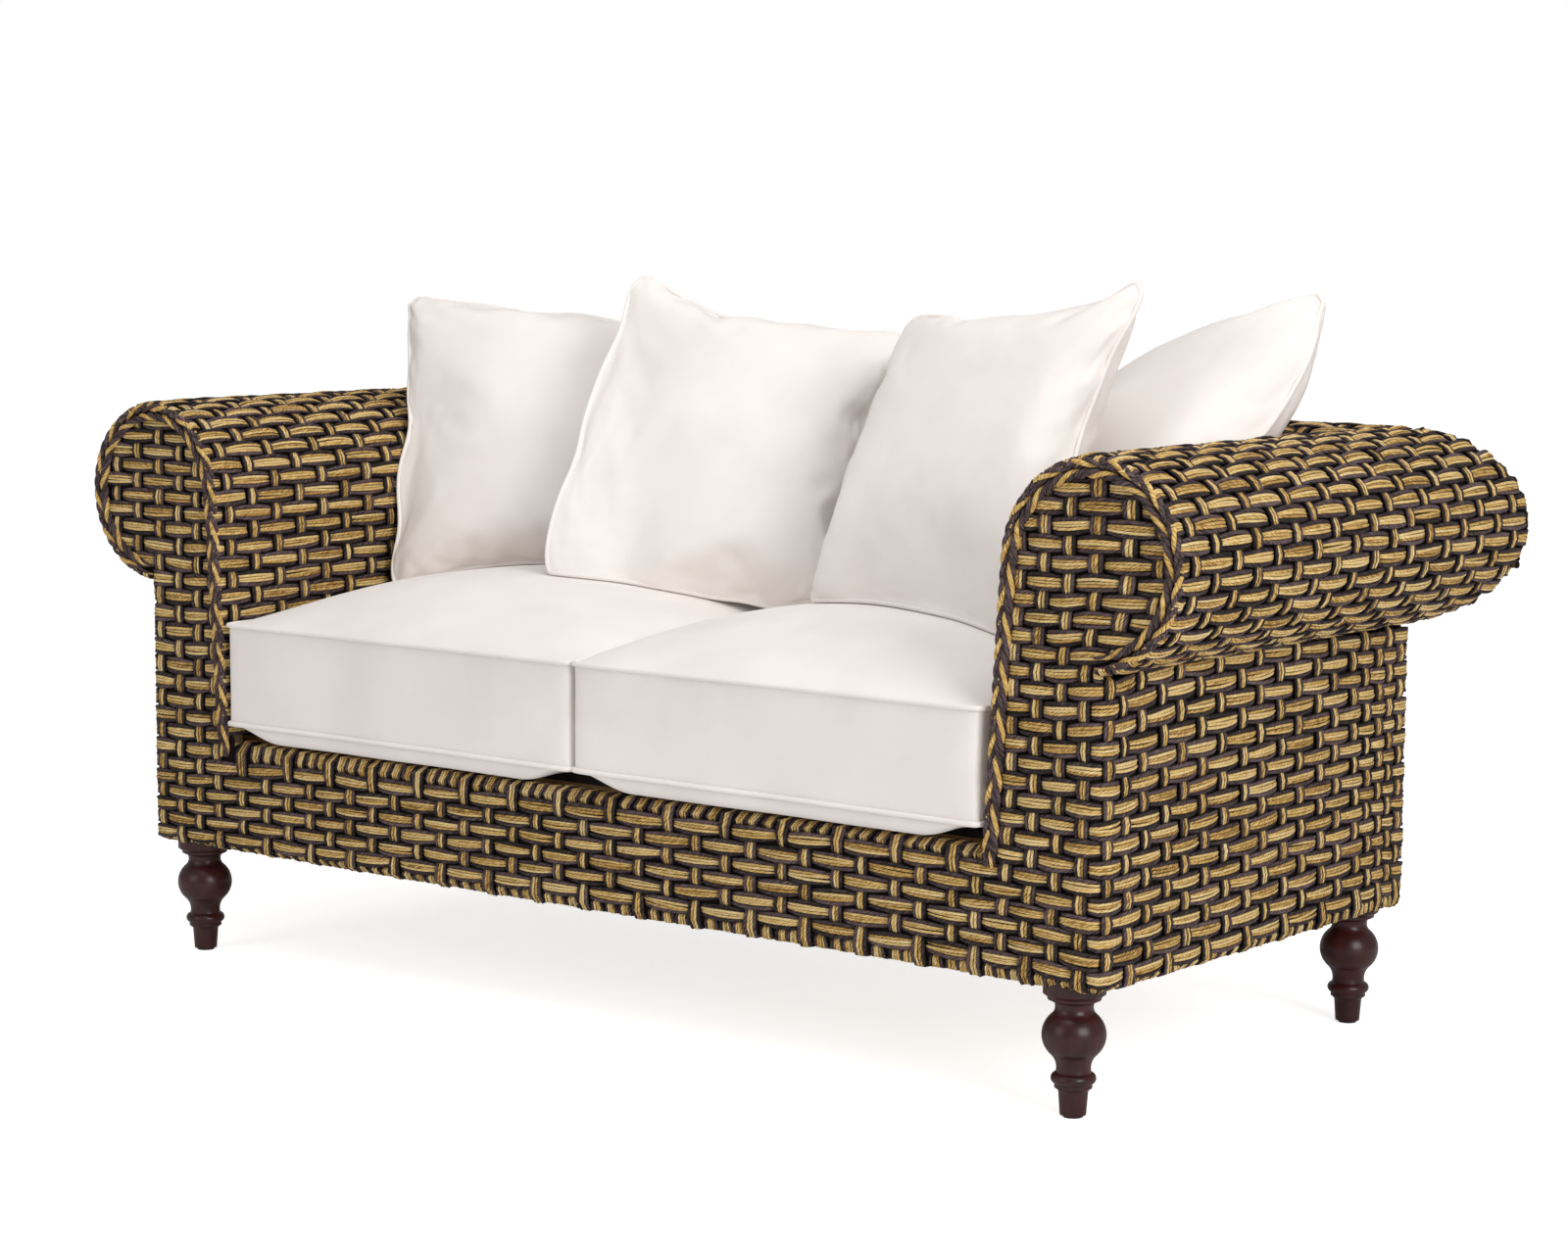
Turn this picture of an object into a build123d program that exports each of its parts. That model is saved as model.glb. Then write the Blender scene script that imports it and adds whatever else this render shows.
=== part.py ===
from build123d import *
import math
import os

# Woven two-seat patio loveseat with rolled arms and a rolled back.
# Millimetres, +Z up, +Y towards the back, +X to the sitter's left (right in the picture).
# The origin is the middle of the overall box, on the floor.

# Driving sizes of the body
seat_width = 1314       # between the arms, at the top of the front rail
arm_thickness = 165     # inner face to outer face; the back has the same section
body_depth = 735        # front face to rear face
leg_height = 167        # floor to the underside of the base
rail_top = 327          # floor to the top of the seat deck, where the inner walls start
roll_radius = 127       # of the scroll on the arms and the back
roll_height = 669       # floor to the middle of the scroll
roll_inset = 17         # middle of the scroll, in from the outer face
corner_radius = 18      # upright corners of the base
skin = 10               # thickness of the woven skin
fit = 0.3               # clearance of pieces that fit or rest together
overrun = 40            # how far cutting shapes run past what they cut

# Timber base
rail_thickness = 40
rail_drop = 8           # the front rail between the arms lies this far below the deck
ledger_width = 30
ledger_height = 20
slat_width = 55
slat_thickness = 14
slat_count = 7
slat_margin = 12        # first and last slat from the ends of the deck
block_leg = 75          # short sides of a corner block
block_height = 90
former_thickness = 15
pole_radius = 17
lightening_width = 62
lightening_height = 130
lightening_radius = 20

# Trim rope round each arm front
rope_radius = 11
rope_sink = 6           # how far its back lies behind the front face
edge_round = 8          # long front edges of the front rail

# Turned legs
leg_inset_side = 62     # leg axis in from the outer face
leg_inset_front = 42
leg_inset_rear = 38
glide_radius = 12
glide_thickness = 3
foot_radius = 16
ankle_radius = 18
ankle_height = 30
bead_radius = 23
cove_turn = 60          # degrees that the cove above the ankle turns through
bead_height = 36
bead_top = 41
ring_radius = 27.5
ring_height = 47.5
waist_radius = 21.5
waist_height = 55
swell_radius = 28.5     # where the waist turns into the vase
swell_height = 77
vase_radius = 38.8
vase_height = 103
shoulder_radius = 27.5
shoulder_height = 125
throat_radius = 24.5
throat_height = 140
lip_radius = 32.5
lip_height = 144
lip_top = 147
collar_radius = 38
collar_height = 151
spigot_radius = 30
spigot_height = 7
bolt_radius = 5
bolt_in_leg = 34
bolt_in_rail = 40

# Loose seat cushions
cushion_overhang = 13   # front of the cushions, ahead of the front face
cushion_gap = 3.5       # to the arms, and to the back
middle_gap = 0.6        # between the two cushions
belly = 21              # lower seam above the front rail
belly_in = 42           # where the belly starts to rise, in from the side
boxing = 140            # between the two seams
crown = 76              # top of the crown above the upper seam
seat_draw = 5           # how far the front and rear are drawn in between the corners

# Loose pillows
pillow_side = 448
pillow_thickness = 128
pillow_rim = 6
pillow_draw = 9         # how far the upper edge is drawn in between the corners
pillow_end = 9          # thickness at the side seams

# Derived places
inner_half = seat_width / 2
outer_half = inner_half + arm_thickness
roll_out = arm_thickness - roll_inset
scroll_reach = roll_out + roll_radius
rope_stand = 2 * rope_radius - rope_sink
front_stand = max(rope_stand, cushion_overhang)
overall_depth = front_stand + body_depth + roll_radius - roll_inset
front_face = front_stand - overall_depth / 2
rear_face = front_face + body_depth
back_inner = rear_face - arm_thickness
wall_top = roll_height - roll_radius
timber_foot = leg_height + skin
timber_top = rail_top - skin
slat_foot = timber_top - slat_thickness
lip_width = skin + rail_thickness
timber_half = outer_half - skin
timber_height = timber_top - timber_foot
timber_front = front_face + skin
timber_rear = rear_face - skin
leg_x = outer_half - leg_inset_side
leg_spots = [
    (side * leg_x, y)
    for y in (front_face + leg_inset_front, rear_face - leg_inset_rear)
    for side in (-1, 1)
]

# The inner face leans from the rail up to a tangent on the scroll
reach_up = roll_height - rail_top
to_roll = math.hypot(roll_out, reach_up)
lean = math.atan2(reach_up, roll_out) + math.asin(roll_radius / to_roll)
mitre_right = Plane(origin=(inner_half, back_inner, 0), z_dir=(1, -1, 0))
mitre_left = Plane(origin=(-inner_half, back_inner, 0), z_dir=(-1, -1, 0))


def finish(piece, name):
    """Labels a finished piece and writes its file."""
    piece.label = name
    export_step(piece, f"parts/{name}.step")


def arm_plane(y):
    """Upright plane across an arm: x runs outwards from the right inner face."""
    return Plane(origin=(inner_half, y, 0), x_dir=(1, 0, 0), z_dir=(0, -1, 0))


def back_plane(x):
    """Upright plane across the back: x runs outwards from its inner face."""
    return Plane(origin=(x, back_inner, 0), x_dir=(0, 1, 0), z_dir=(1, 0, 0))


def wall_point(inset, height):
    """Point on the leaning inner face, drawn in by inset."""
    return ((height - rail_top) / math.tan(lean) + inset / math.sin(lean), height)


def tangent_point(inset):
    """Where the inner face meets the scroll, drawn in by inset."""
    radius = roll_radius - inset
    return (roll_out - radius * math.sin(lean), roll_height + radius * math.cos(lean))


def far_point(inset):
    """Outermost point of the scroll, drawn in by inset."""
    return (roll_out + roll_radius - inset, roll_height)


def under_point(inset, out):
    """Point on the underside of the scroll at the distance out."""
    radius = roll_radius - inset
    return (out, roll_height - math.sqrt(radius**2 - (out - roll_out) ** 2))


def scroll_face(inset, foot, outer):
    """Face of the whole arm section, drawn in by inset, with its outer wall at outer."""
    with BuildSketch() as section:
        with BuildLine():
            rise = Line(wall_point(inset, foot), tangent_point(inset))
            curl = ThreePointArc(rise @ 1, far_point(inset), under_point(inset, outer))
            Polyline(curl @ 1, (outer, foot), rise @ 0)
        make_face()
    return section.sketch


def roll_band():
    """Face of the woven skin round the scroll."""
    end = arm_thickness - skin
    with BuildSketch() as band:
        with BuildLine():
            outside = ThreePointArc(tangent_point(0), far_point(0), under_point(0, end))
            inside = ThreePointArc(tangent_point(skin), far_point(skin), under_point(skin, end))
            Line(outside @ 0, inside @ 0)
            Line(outside @ 1, inside @ 1)
        make_face()
    return band.sketch


def inner_band():
    """Face of the woven skin on the leaning inner side."""
    foot = wall_point(0, rail_top)
    foot_inside = wall_point(skin, rail_top)
    with BuildSketch() as band:
        with BuildLine():
            Polyline(foot, tangent_point(0), tangent_point(skin), foot_inside, foot)
        make_face()
    return band.sketch


def former_face():
    """Face of a scroll former, with its pole hole and a lightening slot."""
    slot_height = (timber_top + roll_height - roll_radius) / 2
    with BuildSketch() as former:
        add(scroll_face(skin, timber_top, arm_thickness - skin))
        with Locations((roll_out, roll_height)):
            Circle(pole_radius + fit, mode=Mode.SUBTRACT)
        with Locations((arm_thickness / 2, slot_height)):
            RectangleRounded(
                lightening_width, lightening_height, lightening_radius, mode=Mode.SUBTRACT
            )
    return former.sketch


def leg_holes():
    """Openings in the base skin round the top of each leg."""
    with BuildSketch() as holes:
        with Locations(*leg_spots):
            Circle(spigot_radius + fit)
    return holes.sketch


def both_sides(part, name):
    """Writes the right-hand piece and its mirror image."""
    finish(part, f"{name}_right")
    finish(mirror(part, about=Plane.YZ, mode=Mode.PRIVATE), f"{name}_left")


os.makedirs("parts", exist_ok=True)

# Woven skins of the arms
arm_start = front_face + rope_sink
arm_run = back_inner + scroll_reach + overrun - arm_start

with BuildPart() as arm_roll:
    with BuildSketch(arm_plane(arm_start)):
        add(roll_band())
    extrude(amount=-arm_run)
    split(bisect_by=mitre_right, keep=Keep.TOP)
both_sides(arm_roll.part, "arm_roll_skin")

with BuildPart() as arm_inner:
    with BuildSketch(arm_plane(arm_start)):
        add(inner_band())
    extrude(amount=-arm_run)
    split(bisect_by=mitre_right, keep=Keep.TOP)
both_sides(arm_inner.part, "arm_inner_skin")

# Woven skins of the back
back_start = -inner_half - scroll_reach - overrun

with BuildPart() as back_roll:
    with BuildSketch(back_plane(back_start)):
        add(roll_band())
    extrude(amount=-2 * back_start)
    split(bisect_by=mitre_right, keep=Keep.BOTTOM)
    split(bisect_by=mitre_left, keep=Keep.BOTTOM)
finish(back_roll.part, "back_roll_skin")

with BuildPart() as back_inner_skin:
    with BuildSketch(back_plane(back_start)):
        add(inner_band())
    extrude(amount=-2 * back_start)
    split(bisect_by=mitre_right, keep=Keep.BOTTOM)
    split(bisect_by=mitre_left, keep=Keep.BOTTOM)
finish(back_inner_skin.part, "back_inner_skin")

# Woven skins of the base: sides with their rounded corners, and the rear
middle_y = (front_face + rear_face) / 2
flat_half = outer_half - corner_radius

with BuildPart() as side_skin:
    with BuildSketch(Plane(origin=(0, middle_y, leg_height))):
        RectangleRounded(2 * outer_half, body_depth, corner_radius)
        RectangleRounded(
            2 * (outer_half - skin),
            body_depth - 2 * skin,
            corner_radius - skin,
            mode=Mode.SUBTRACT,
        )
    extrude(amount=wall_top - leg_height)
    split(bisect_by=Plane.YZ.offset(flat_half), keep=Keep.TOP)
    with BuildSketch(Plane(origin=(0, middle_y, leg_height))):
        RectangleRounded(2 * (outer_half - skin), body_depth - 2 * skin, corner_radius - skin)
        with Locations((-lip_width, 0)):
            Rectangle(2 * outer_half, body_depth, mode=Mode.SUBTRACT)
    extrude(amount=skin)
    with BuildSketch(Plane.XY.offset(leg_height)):
        add(leg_holes())
    extrude(amount=skin, mode=Mode.SUBTRACT)
both_sides(side_skin.part, "side_skin")

with BuildPart() as back_outer:
    with BuildSketch(Plane.XY.offset(leg_height)):
        with Locations((0, rear_face)):
            Rectangle(2 * flat_half, skin, align=(Align.CENTER, Align.MAX))
    extrude(amount=wall_top - leg_height)
    with BuildSketch(Plane.XY.offset(leg_height)):
        with Locations((0, rear_face)):
            Rectangle(
                2 * (outer_half - lip_width), lip_width, align=(Align.CENTER, Align.MAX)
            )
    extrude(amount=skin)
    with BuildSketch(Plane.XY.offset(leg_height)):
        add(leg_holes())
    extrude(amount=skin, mode=Mode.SUBTRACT)
finish(back_outer.part, "back_outer_skin")

# Woven front of each arm, inside its trim rope
rope_band = rope_radius + math.sqrt(rope_radius**2 - (rope_radius - rope_sink) ** 2) + fit
facing_side = arm_thickness - corner_radius

with BuildPart() as facing:
    with BuildSketch(arm_plane(front_face)):
        add(scroll_face(rope_band, rail_top, facing_side))
        with Locations((0, leg_height)):
            Rectangle(facing_side, rail_top - leg_height, align=(Align.MIN, Align.MIN))
    extrude(amount=-skin)
    with BuildSketch(Plane(origin=(inner_half, front_face, leg_height))):
        Rectangle(arm_thickness - lip_width, lip_width, align=(Align.MIN, Align.MIN))
    extrude(amount=skin)
    with BuildSketch(Plane.XY.offset(leg_height)):
        add(leg_holes())
    extrude(amount=skin, mode=Mode.SUBTRACT)
both_sides(facing.part, "arm_facing")

# Woven skin of the front rail, wrapped over and under the timber
rail_height = rail_top - rail_drop - leg_height
with BuildPart() as rail_skin:
    with BuildSketch(back_plane(-inner_half)):
        with Locations((front_face - back_inner, leg_height)):
            Rectangle(lip_width + skin, rail_height, align=(Align.MIN, Align.MIN))
        with Locations((timber_front - back_inner, timber_foot)):
            Rectangle(
                rail_thickness,
                timber_height - rail_drop,
                align=(Align.MIN, Align.MIN),
                mode=Mode.SUBTRACT,
            )
        with Locations((front_face + lip_width - back_inner, leg_height)):
            Rectangle(
                skin, slat_foot - leg_height, align=(Align.MIN, Align.MIN), mode=Mode.SUBTRACT
            )
    extrude(amount=seat_width)
    fillet(rail_skin.edges().filter_by(Axis.X).group_by(Axis.Y)[0], radius=edge_round)
finish(rail_skin.part, "front_rail_skin")

# Trim ropes
rope_y = front_face + rope_sink - rope_radius
with BuildPart() as rope:
    with BuildLine(arm_plane(rope_y)) as rope_path:
        rope_foot = rail_top + rope_radius * math.cos(lean)
        rope_rise = Line(wall_point(rope_radius, rope_foot), tangent_point(rope_radius))
        ThreePointArc(
            rope_rise @ 1, far_point(rope_radius), under_point(rope_radius, arm_thickness)
        )
    with BuildSketch(Plane(origin=rope_path.line @ 0, z_dir=rope_path.line % 0)):
        Circle(rope_radius)
    sweep()
both_sides(rope.part, "arm_trim_rope")

# Timber base rails
inside_front = timber_front + rail_thickness
inside_rear = timber_rear - rail_thickness
bolt_hole = bolt_radius + fit


def cross_rail(y, corner_group, leg_y, drop):
    """Front or rear rail; outer corners follow the rounded skin, drop lowers it between the arms."""
    with BuildPart() as rail:
        with BuildSketch(Plane(origin=(0, y, timber_foot))):
            Rectangle(2 * timber_half, rail_thickness)
        extrude(amount=timber_height)
        corners = rail.edges().filter_by(Axis.Z).group_by(Axis.Y)[corner_group]
        fillet(corners, radius=corner_radius - skin)
        with BuildSketch(Plane.XY.offset(timber_foot)):
            with Locations((-leg_x, leg_y), (leg_x, leg_y)):
                Circle(bolt_hole)
        extrude(amount=bolt_in_rail + fit, mode=Mode.SUBTRACT)
        if drop:
            with BuildSketch(Plane(origin=(0, y, timber_top))):
                Rectangle(seat_width, rail_thickness)
            extrude(amount=-drop, mode=Mode.SUBTRACT)
    return rail.part


finish(
    cross_rail(timber_front + rail_thickness / 2, 0, front_face + leg_inset_front, rail_drop),
    "base_rail_front",
)
finish(
    cross_rail(timber_rear - rail_thickness / 2, -1, rear_face - leg_inset_rear, 0),
    "base_rail_rear",
)

inside_depth = inside_rear - inside_front
with BuildPart() as side_rail:
    with BuildSketch(Plane(origin=(timber_half, inside_front, timber_foot))):
        Rectangle(rail_thickness, inside_depth, align=(Align.MAX, Align.MIN))
    extrude(amount=timber_height)
both_sides(side_rail.part, "base_rail_side")

inside_half = timber_half - rail_thickness
with BuildPart() as centre_rail:
    with BuildSketch(Plane(origin=(0, inside_front, timber_foot))):
        Rectangle(rail_thickness, inside_depth, align=(Align.CENTER, Align.MIN))
    extrude(amount=slat_foot - timber_foot)
finish(centre_rail.part, "centre_rail")

with BuildPart() as blocks:
    with BuildSketch(Plane.XY.offset(timber_foot + (timber_height - block_height) / 2)):
        for side in (-1, 1):
            for y, inward in ((inside_front, 1), (inside_rear, -1)):
                with BuildLine():
                    Polyline(
                        (side * inside_half, y),
                        (side * (inside_half - block_leg), y),
                        (side * inside_half, y + inward * block_leg),
                        close=True,
                    )
                make_face()
    extrude(amount=block_height)
finish(blocks.part, "corner_blocks")

# Deck: ledgers on the side rails, slats across them, and the dark deck panel
with BuildPart() as ledgers:
    for side, edge in ((-1, Align.MIN), (1, Align.MAX)):
        with BuildSketch(Plane(origin=(side * inside_half, inside_front + block_leg, slat_foot))):
            Rectangle(ledger_width, inside_depth - 2 * block_leg, align=(edge, Align.MIN))
        extrude(amount=-ledger_height)
finish(ledgers.part, "deck_ledgers")

deck_front = front_face + lip_width + skin
deck_depth = back_inner - deck_front
slat_run = deck_depth - 2 * slat_margin - slat_width
slat_pitch = slat_run / (slat_count - 1)
with BuildPart() as slats:
    with BuildSketch(Plane(origin=(0, deck_front + deck_depth / 2, slat_foot))):
        with GridLocations(0, slat_pitch, 1, slat_count):
            Rectangle(2 * inside_half, slat_width)
    extrude(amount=slat_thickness)
finish(slats.part, "seat_slats")

with BuildPart() as deck:
    with BuildSketch(Plane(origin=(0, deck_front, timber_top))):
        Rectangle(seat_width, deck_depth, align=(Align.CENTER, Align.MIN))
    extrude(amount=skin)
finish(deck.part, "seat_deck")

# Scroll formers and the poles through them
former_start = timber_front + corner_radius - skin
arm_former_run = back_inner - former_thickness - former_start
with BuildPart() as arm_formers:
    for place in (0, 1, 2):
        with BuildSketch(arm_plane(former_start + arm_former_run * place / 2)):
            add(former_face())
        extrude(amount=-former_thickness)
both_sides(arm_formers.part, "arm_formers")

back_former_run = seat_width - former_thickness
with BuildPart() as back_formers:
    for place in (0, 1, 2, 3):
        with BuildSketch(back_plane(back_former_run * place / 3 - inner_half)):
            add(former_face())
        extrude(amount=former_thickness)
finish(back_formers.part, "back_formers")

pole_end = back_inner + roll_out - pole_radius
with BuildPart() as arm_pole:
    with BuildSketch(arm_plane(former_start)):
        with Locations((roll_out, roll_height)):
            Circle(pole_radius)
    extrude(amount=former_start - pole_end)
both_sides(arm_pole.part, "arm_roll_pole")

back_pole_half = inner_half + roll_out + pole_radius
with BuildPart() as back_pole:
    with BuildSketch(back_plane(-back_pole_half)):
        with Locations((roll_out, roll_height)):
            Circle(pole_radius)
    extrude(amount=2 * back_pole_half)
finish(back_pole.part, "back_roll_pole")


# Turned legs, one profile revolved at each corner
def turned_leg(spot):
    """Leg with tapered foot, double bead, vase, neck and stepped collar."""
    with BuildPart() as leg:
        with BuildSketch(Plane(origin=(*spot, 0), x_dir=(1, 0, 0), z_dir=(0, -1, 0))):
            with BuildLine():
                foot = Line((0, glide_thickness), (foot_radius, glide_thickness))
                taper = Line(foot @ 1, (ankle_radius, ankle_height))
                cove = JernArc(taper @ 1, taper % 1, bead_height - ankle_height, -cove_turn)
                bead = Polyline(cove @ 1, (bead_radius, bead_height), (bead_radius, bead_top))
                ring = ThreePointArc(
                    bead @ 1, (ring_radius, ring_height), (bead_radius, 2 * ring_height - bead_top)
                )
                Line(ring @ 1, (waist_radius, waist_height))
                vase = ThreePointArc(
                    (swell_radius, swell_height),
                    (vase_radius, vase_height),
                    (shoulder_radius, shoulder_height),
                )
                TangentArc(vase @ 0, (waist_radius, waist_height), tangent=-(vase % 0))
                neck = TangentArc(vase @ 1, (throat_radius, throat_height), tangent=vase % 1)
                Polyline(
                    neck @ 1,
                    (lip_radius, lip_height),
                    (lip_radius, lip_top),
                    (collar_radius, collar_height),
                    (collar_radius, leg_height),
                    (spigot_radius, leg_height),
                    (spigot_radius, leg_height + spigot_height),
                    (0, leg_height + spigot_height),
                    foot @ 0,
                )
            make_face()
        revolve(axis=Axis((*spot, 0), (0, 0, 1)))
        with BuildSketch(Plane(origin=(*spot, leg_height + spigot_height))):
            Circle(bolt_hole)
        extrude(amount=-bolt_in_leg, mode=Mode.SUBTRACT)
    return leg.part


leg_names = ("leg_front_left", "leg_front_right", "leg_rear_left", "leg_rear_right")
for spot, leg_name in zip(leg_spots, leg_names):
    finish(turned_leg(spot), leg_name)

with BuildPart() as glides:
    with BuildSketch(Plane.XY):
        with Locations(*leg_spots):
            Circle(glide_radius)
    extrude(amount=glide_thickness)
finish(glides.part, "leg_glides")

plate_foot = leg_height + spigot_height
with BuildPart() as plates:
    with BuildSketch(Plane.XY.offset(plate_foot)):
        with Locations(*leg_spots):
            Circle(spigot_radius)
            Circle(bolt_hole, mode=Mode.SUBTRACT)
    extrude(amount=timber_foot - plate_foot)
finish(plates.part, "leg_plates")

with BuildPart() as bolts:
    with BuildSketch(Plane.XY.offset(plate_foot - bolt_in_leg)):
        with Locations(*leg_spots):
            Circle(bolt_radius)
    extrude(amount=bolt_in_leg + timber_foot - plate_foot + bolt_in_rail)
finish(bolts.part, "leg_bolts")


# Loose seat cushions: box cushions with a high crown and a soft belly
seat_front = front_face - cushion_overhang
seat_rear = back_inner - cushion_gap
seat_foot = rail_top + fit
low_seam = rail_top + belly
high_seam = low_seam + boxing
cushion_half = (inner_half - cushion_gap - middle_gap / 2) / 2
cushion_middle = middle_gap / 2 + cushion_half
width_shares = (-1, -0.93, -0.78, -0.4, 0, 0.4, 0.78, 0.93, 1)
crown_shares = (0.04, 0.36, 0.68, 0.93, 1, 0.93, 0.68, 0.36, 0.04)
belly_shares = (0.06, 0.8, 1, 1, 1, 1, 1, 0.8, 0.06)
draw_shares = (0, 0.2, 0.5, 0.9, 1, 0.9, 0.5, 0.2, 0)


def seat_section(rise, drop, drawn):
    """Upright front-to-back section of a seat cushion."""
    front = seat_front + drawn
    rear = seat_rear - drawn
    under = low_seam - drop
    with BuildSketch() as section:
        with BuildLine():
            face = Line((front, low_seam), (front, high_seam))
            top = ThreePointArc(
                face @ 1,
                (front + (rear - front) / 2, high_seam + rise),
                (rear, high_seam),
            )
            Polyline(
                top @ 1,
                (rear, low_seam),
                (rear - belly_in, under),
                (front + belly_in, under),
                face @ 0,
            )
        make_face()
    return section.sketch


def seat_cushion(side):
    """One seat cushion, lofted across its width."""
    with BuildPart() as cushion:
        for place, rise, drop, drawn in zip(width_shares, crown_shares, belly_shares, draw_shares):
            x = side * cushion_middle + cushion_half * place
            with BuildSketch(Plane(origin=(x, 0, 0), x_dir=(0, 1, 0), z_dir=(1, 0, 0))):
                add(seat_section(crown * rise, (low_seam - seat_foot) * drop, seat_draw * drawn))
        loft(ruled=True)
    return cushion.part


seats = [seat_cushion(-1), seat_cushion(1)]
finish(seats[0], "seat_cushion_left")
finish(seats[1], "seat_cushion_right")


# Loose pillows: knife-edge squares that lean back
def pillow_frame(x, y, z, yaw, tilt, roll):
    """Plane of a pillow: x to its side, y up its face, z out of its front."""
    upright = Plane(origin=(x, y, z), x_dir=(1, 0, 0), z_dir=(0, -1, 0))
    return Plane(upright.location * Rot(0, yaw, 0) * Rot(-tilt, 0, 0) * Rot(0, 0, roll))


span_shares = (-1, -0.9, -0.66, -0.34, 0, 0.34, 0.66, 0.9, 1)
swell_shares = (0, 0.32, 0.72, 0.95, 1, 0.95, 0.72, 0.32, 0)
pinch_shares = (0, 0.35, 0.8, 1, 1, 1, 0.8, 0.35, 0)


def pillow(frame):
    """One pillow: lens sections from side seam to side seam."""
    with BuildPart() as cushion:
        for place, swell, pinch in zip(span_shares, swell_shares, pinch_shares):
            middle = frame.from_local_coords((pillow_side / 2 * place, 0, 0))
            upper = pillow_side / 2 - pillow_draw * pinch
            lower = -pillow_side / 2
            crest = (upper + lower) / 2
            half_depth = (pillow_end + (pillow_thickness - pillow_end) * swell) / 2
            half_rim = pillow_rim / 2
            with BuildSketch(Plane(origin=middle, x_dir=frame.y_dir, z_dir=frame.x_dir)):
                with BuildLine():
                    front = ThreePointArc(
                        (lower, half_rim), (crest, half_depth), (upper, half_rim)
                    )
                    rear = ThreePointArc(
                        (lower, -half_rim), (crest, -half_depth), (upper, -half_rim)
                    )
                    Line(front @ 0, rear @ 0)
                    Line(front @ 1, rear @ 1)
                make_face()
        loft(ruled=True)
    return cushion.part


lowering_steps = 12


def lower_onto(piece, supports, gap):
    """Lowers a piece until its least distance to what carries it is the gap."""
    for step in range(lowering_steps):
        room = min(piece.distance_to(support) for support in supports) - gap
        if room < fit / 10:
            break
        piece = piece.moved(Location((0, 0, -room)))
    return piece


# Each pillow's place across the seat and from front to back, then its turn, tilt and roll
pillow_place_shares = {
    "pillow_rear_left": (-0.738, 0.849, 25, 24.5, 2.5),
    "pillow_front_left": (-0.157, 0.798, 25.5, 33.3, -8.9),
    "pillow_rear_right": (0.708, 0.884, -20.6, 40, 10.2),
    "pillow_front_right": (0.578, 0.616, -12.6, 28.6, 4.8),
}
start_height = high_seam + crown + pillow_side / 2
for name, (across, back, yaw, tilt, roll) in pillow_place_shares.items():
    y = front_face + (back_inner - front_face) * back
    place = pillow_frame(inner_half * across, y, start_height, yaw, tilt, roll)
    finish(lower_onto(pillow(place), seats, fit), name)
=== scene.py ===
# %% [markdown]
# # A woven patio loveseat
# The real one is a timber frame that a weaver has covered with bands of twisted cord, with a
# turned leg under each corner, two loose box cushions and four loose pillows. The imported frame
# brings the solid model in metres, and every skin that is seen is laid over it in this file.

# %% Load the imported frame
import math

import bpy
import numpy as np
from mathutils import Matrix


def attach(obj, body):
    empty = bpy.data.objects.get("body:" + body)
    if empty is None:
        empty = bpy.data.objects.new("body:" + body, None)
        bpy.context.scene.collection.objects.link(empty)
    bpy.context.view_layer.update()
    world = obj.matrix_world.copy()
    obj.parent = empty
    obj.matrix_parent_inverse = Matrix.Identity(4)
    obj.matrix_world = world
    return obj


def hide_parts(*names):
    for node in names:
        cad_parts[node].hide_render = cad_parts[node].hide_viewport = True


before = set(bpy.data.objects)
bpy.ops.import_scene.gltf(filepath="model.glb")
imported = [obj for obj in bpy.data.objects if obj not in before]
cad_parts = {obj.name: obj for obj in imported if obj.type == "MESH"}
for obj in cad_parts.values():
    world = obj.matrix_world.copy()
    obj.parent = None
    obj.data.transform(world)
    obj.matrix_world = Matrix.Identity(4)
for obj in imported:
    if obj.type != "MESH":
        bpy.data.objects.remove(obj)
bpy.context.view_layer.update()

mm = 0.001

# %% [markdown]
# ## Sizes shared with the solid model
# The solids are smooth bands where the real skins are woven. The weave could be drawn on them
# as a picture, but its shadows and its rough outline would be missing. So it is laid as real
# cords, and they are placed from the sizes that drive the solid model, in millimetres.

# %% Sizes of the body
inner_half, outer_half = 657.0, 822.0
front_face, back_inner, rear_face = -414.5, 155.5, 320.5
rail_top, wall_top = 327.0, 542.0
roll_out, roll_height, roll_radius = 148.0, 669.0, 127.0
corner_radius = 18.0
skin_thick = 10.0
far = 5000.0  # beyond every edge
sides = ((-1, "left"), (1, "right"))

# %% [markdown]
# ## The scroll section
# Arms and back have one section: an inner wall that leans outwards, then most of a circle. The
# wall is tangent to the circle, which gives its lean. The section is measured as one run from
# the foot of the wall, because the weaver's columns follow it in one go.

# %% Lengths of the scroll section
reach_up = roll_height - rail_top
lean = math.atan2(reach_up, roll_out) + math.asin(roll_radius / math.hypot(roll_out, reach_up))
wall_run = (reach_up + roll_radius * math.cos(lean)) / math.sin(lean)
arc_start = math.pi - (math.pi / 2 - lean)
# The circle ends at the inner face of the outer wall
arc_end = -math.acos((outer_half - skin_thick - inner_half - roll_out) / roll_radius)
section_run = wall_run + roll_radius * (arc_start - arc_end)
print("inner wall", round(wall_run), "mm, whole scroll section", round(section_run), "mm")

# %% [markdown]
# ## The camera
# Furniture is photographed from far off with a long lens, so that upright lines stay upright.
# A camera could be set by eye, but then nothing measured in the picture could be trusted. So
# its place, its turns and its lens were fitted to points of the photograph.

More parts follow.
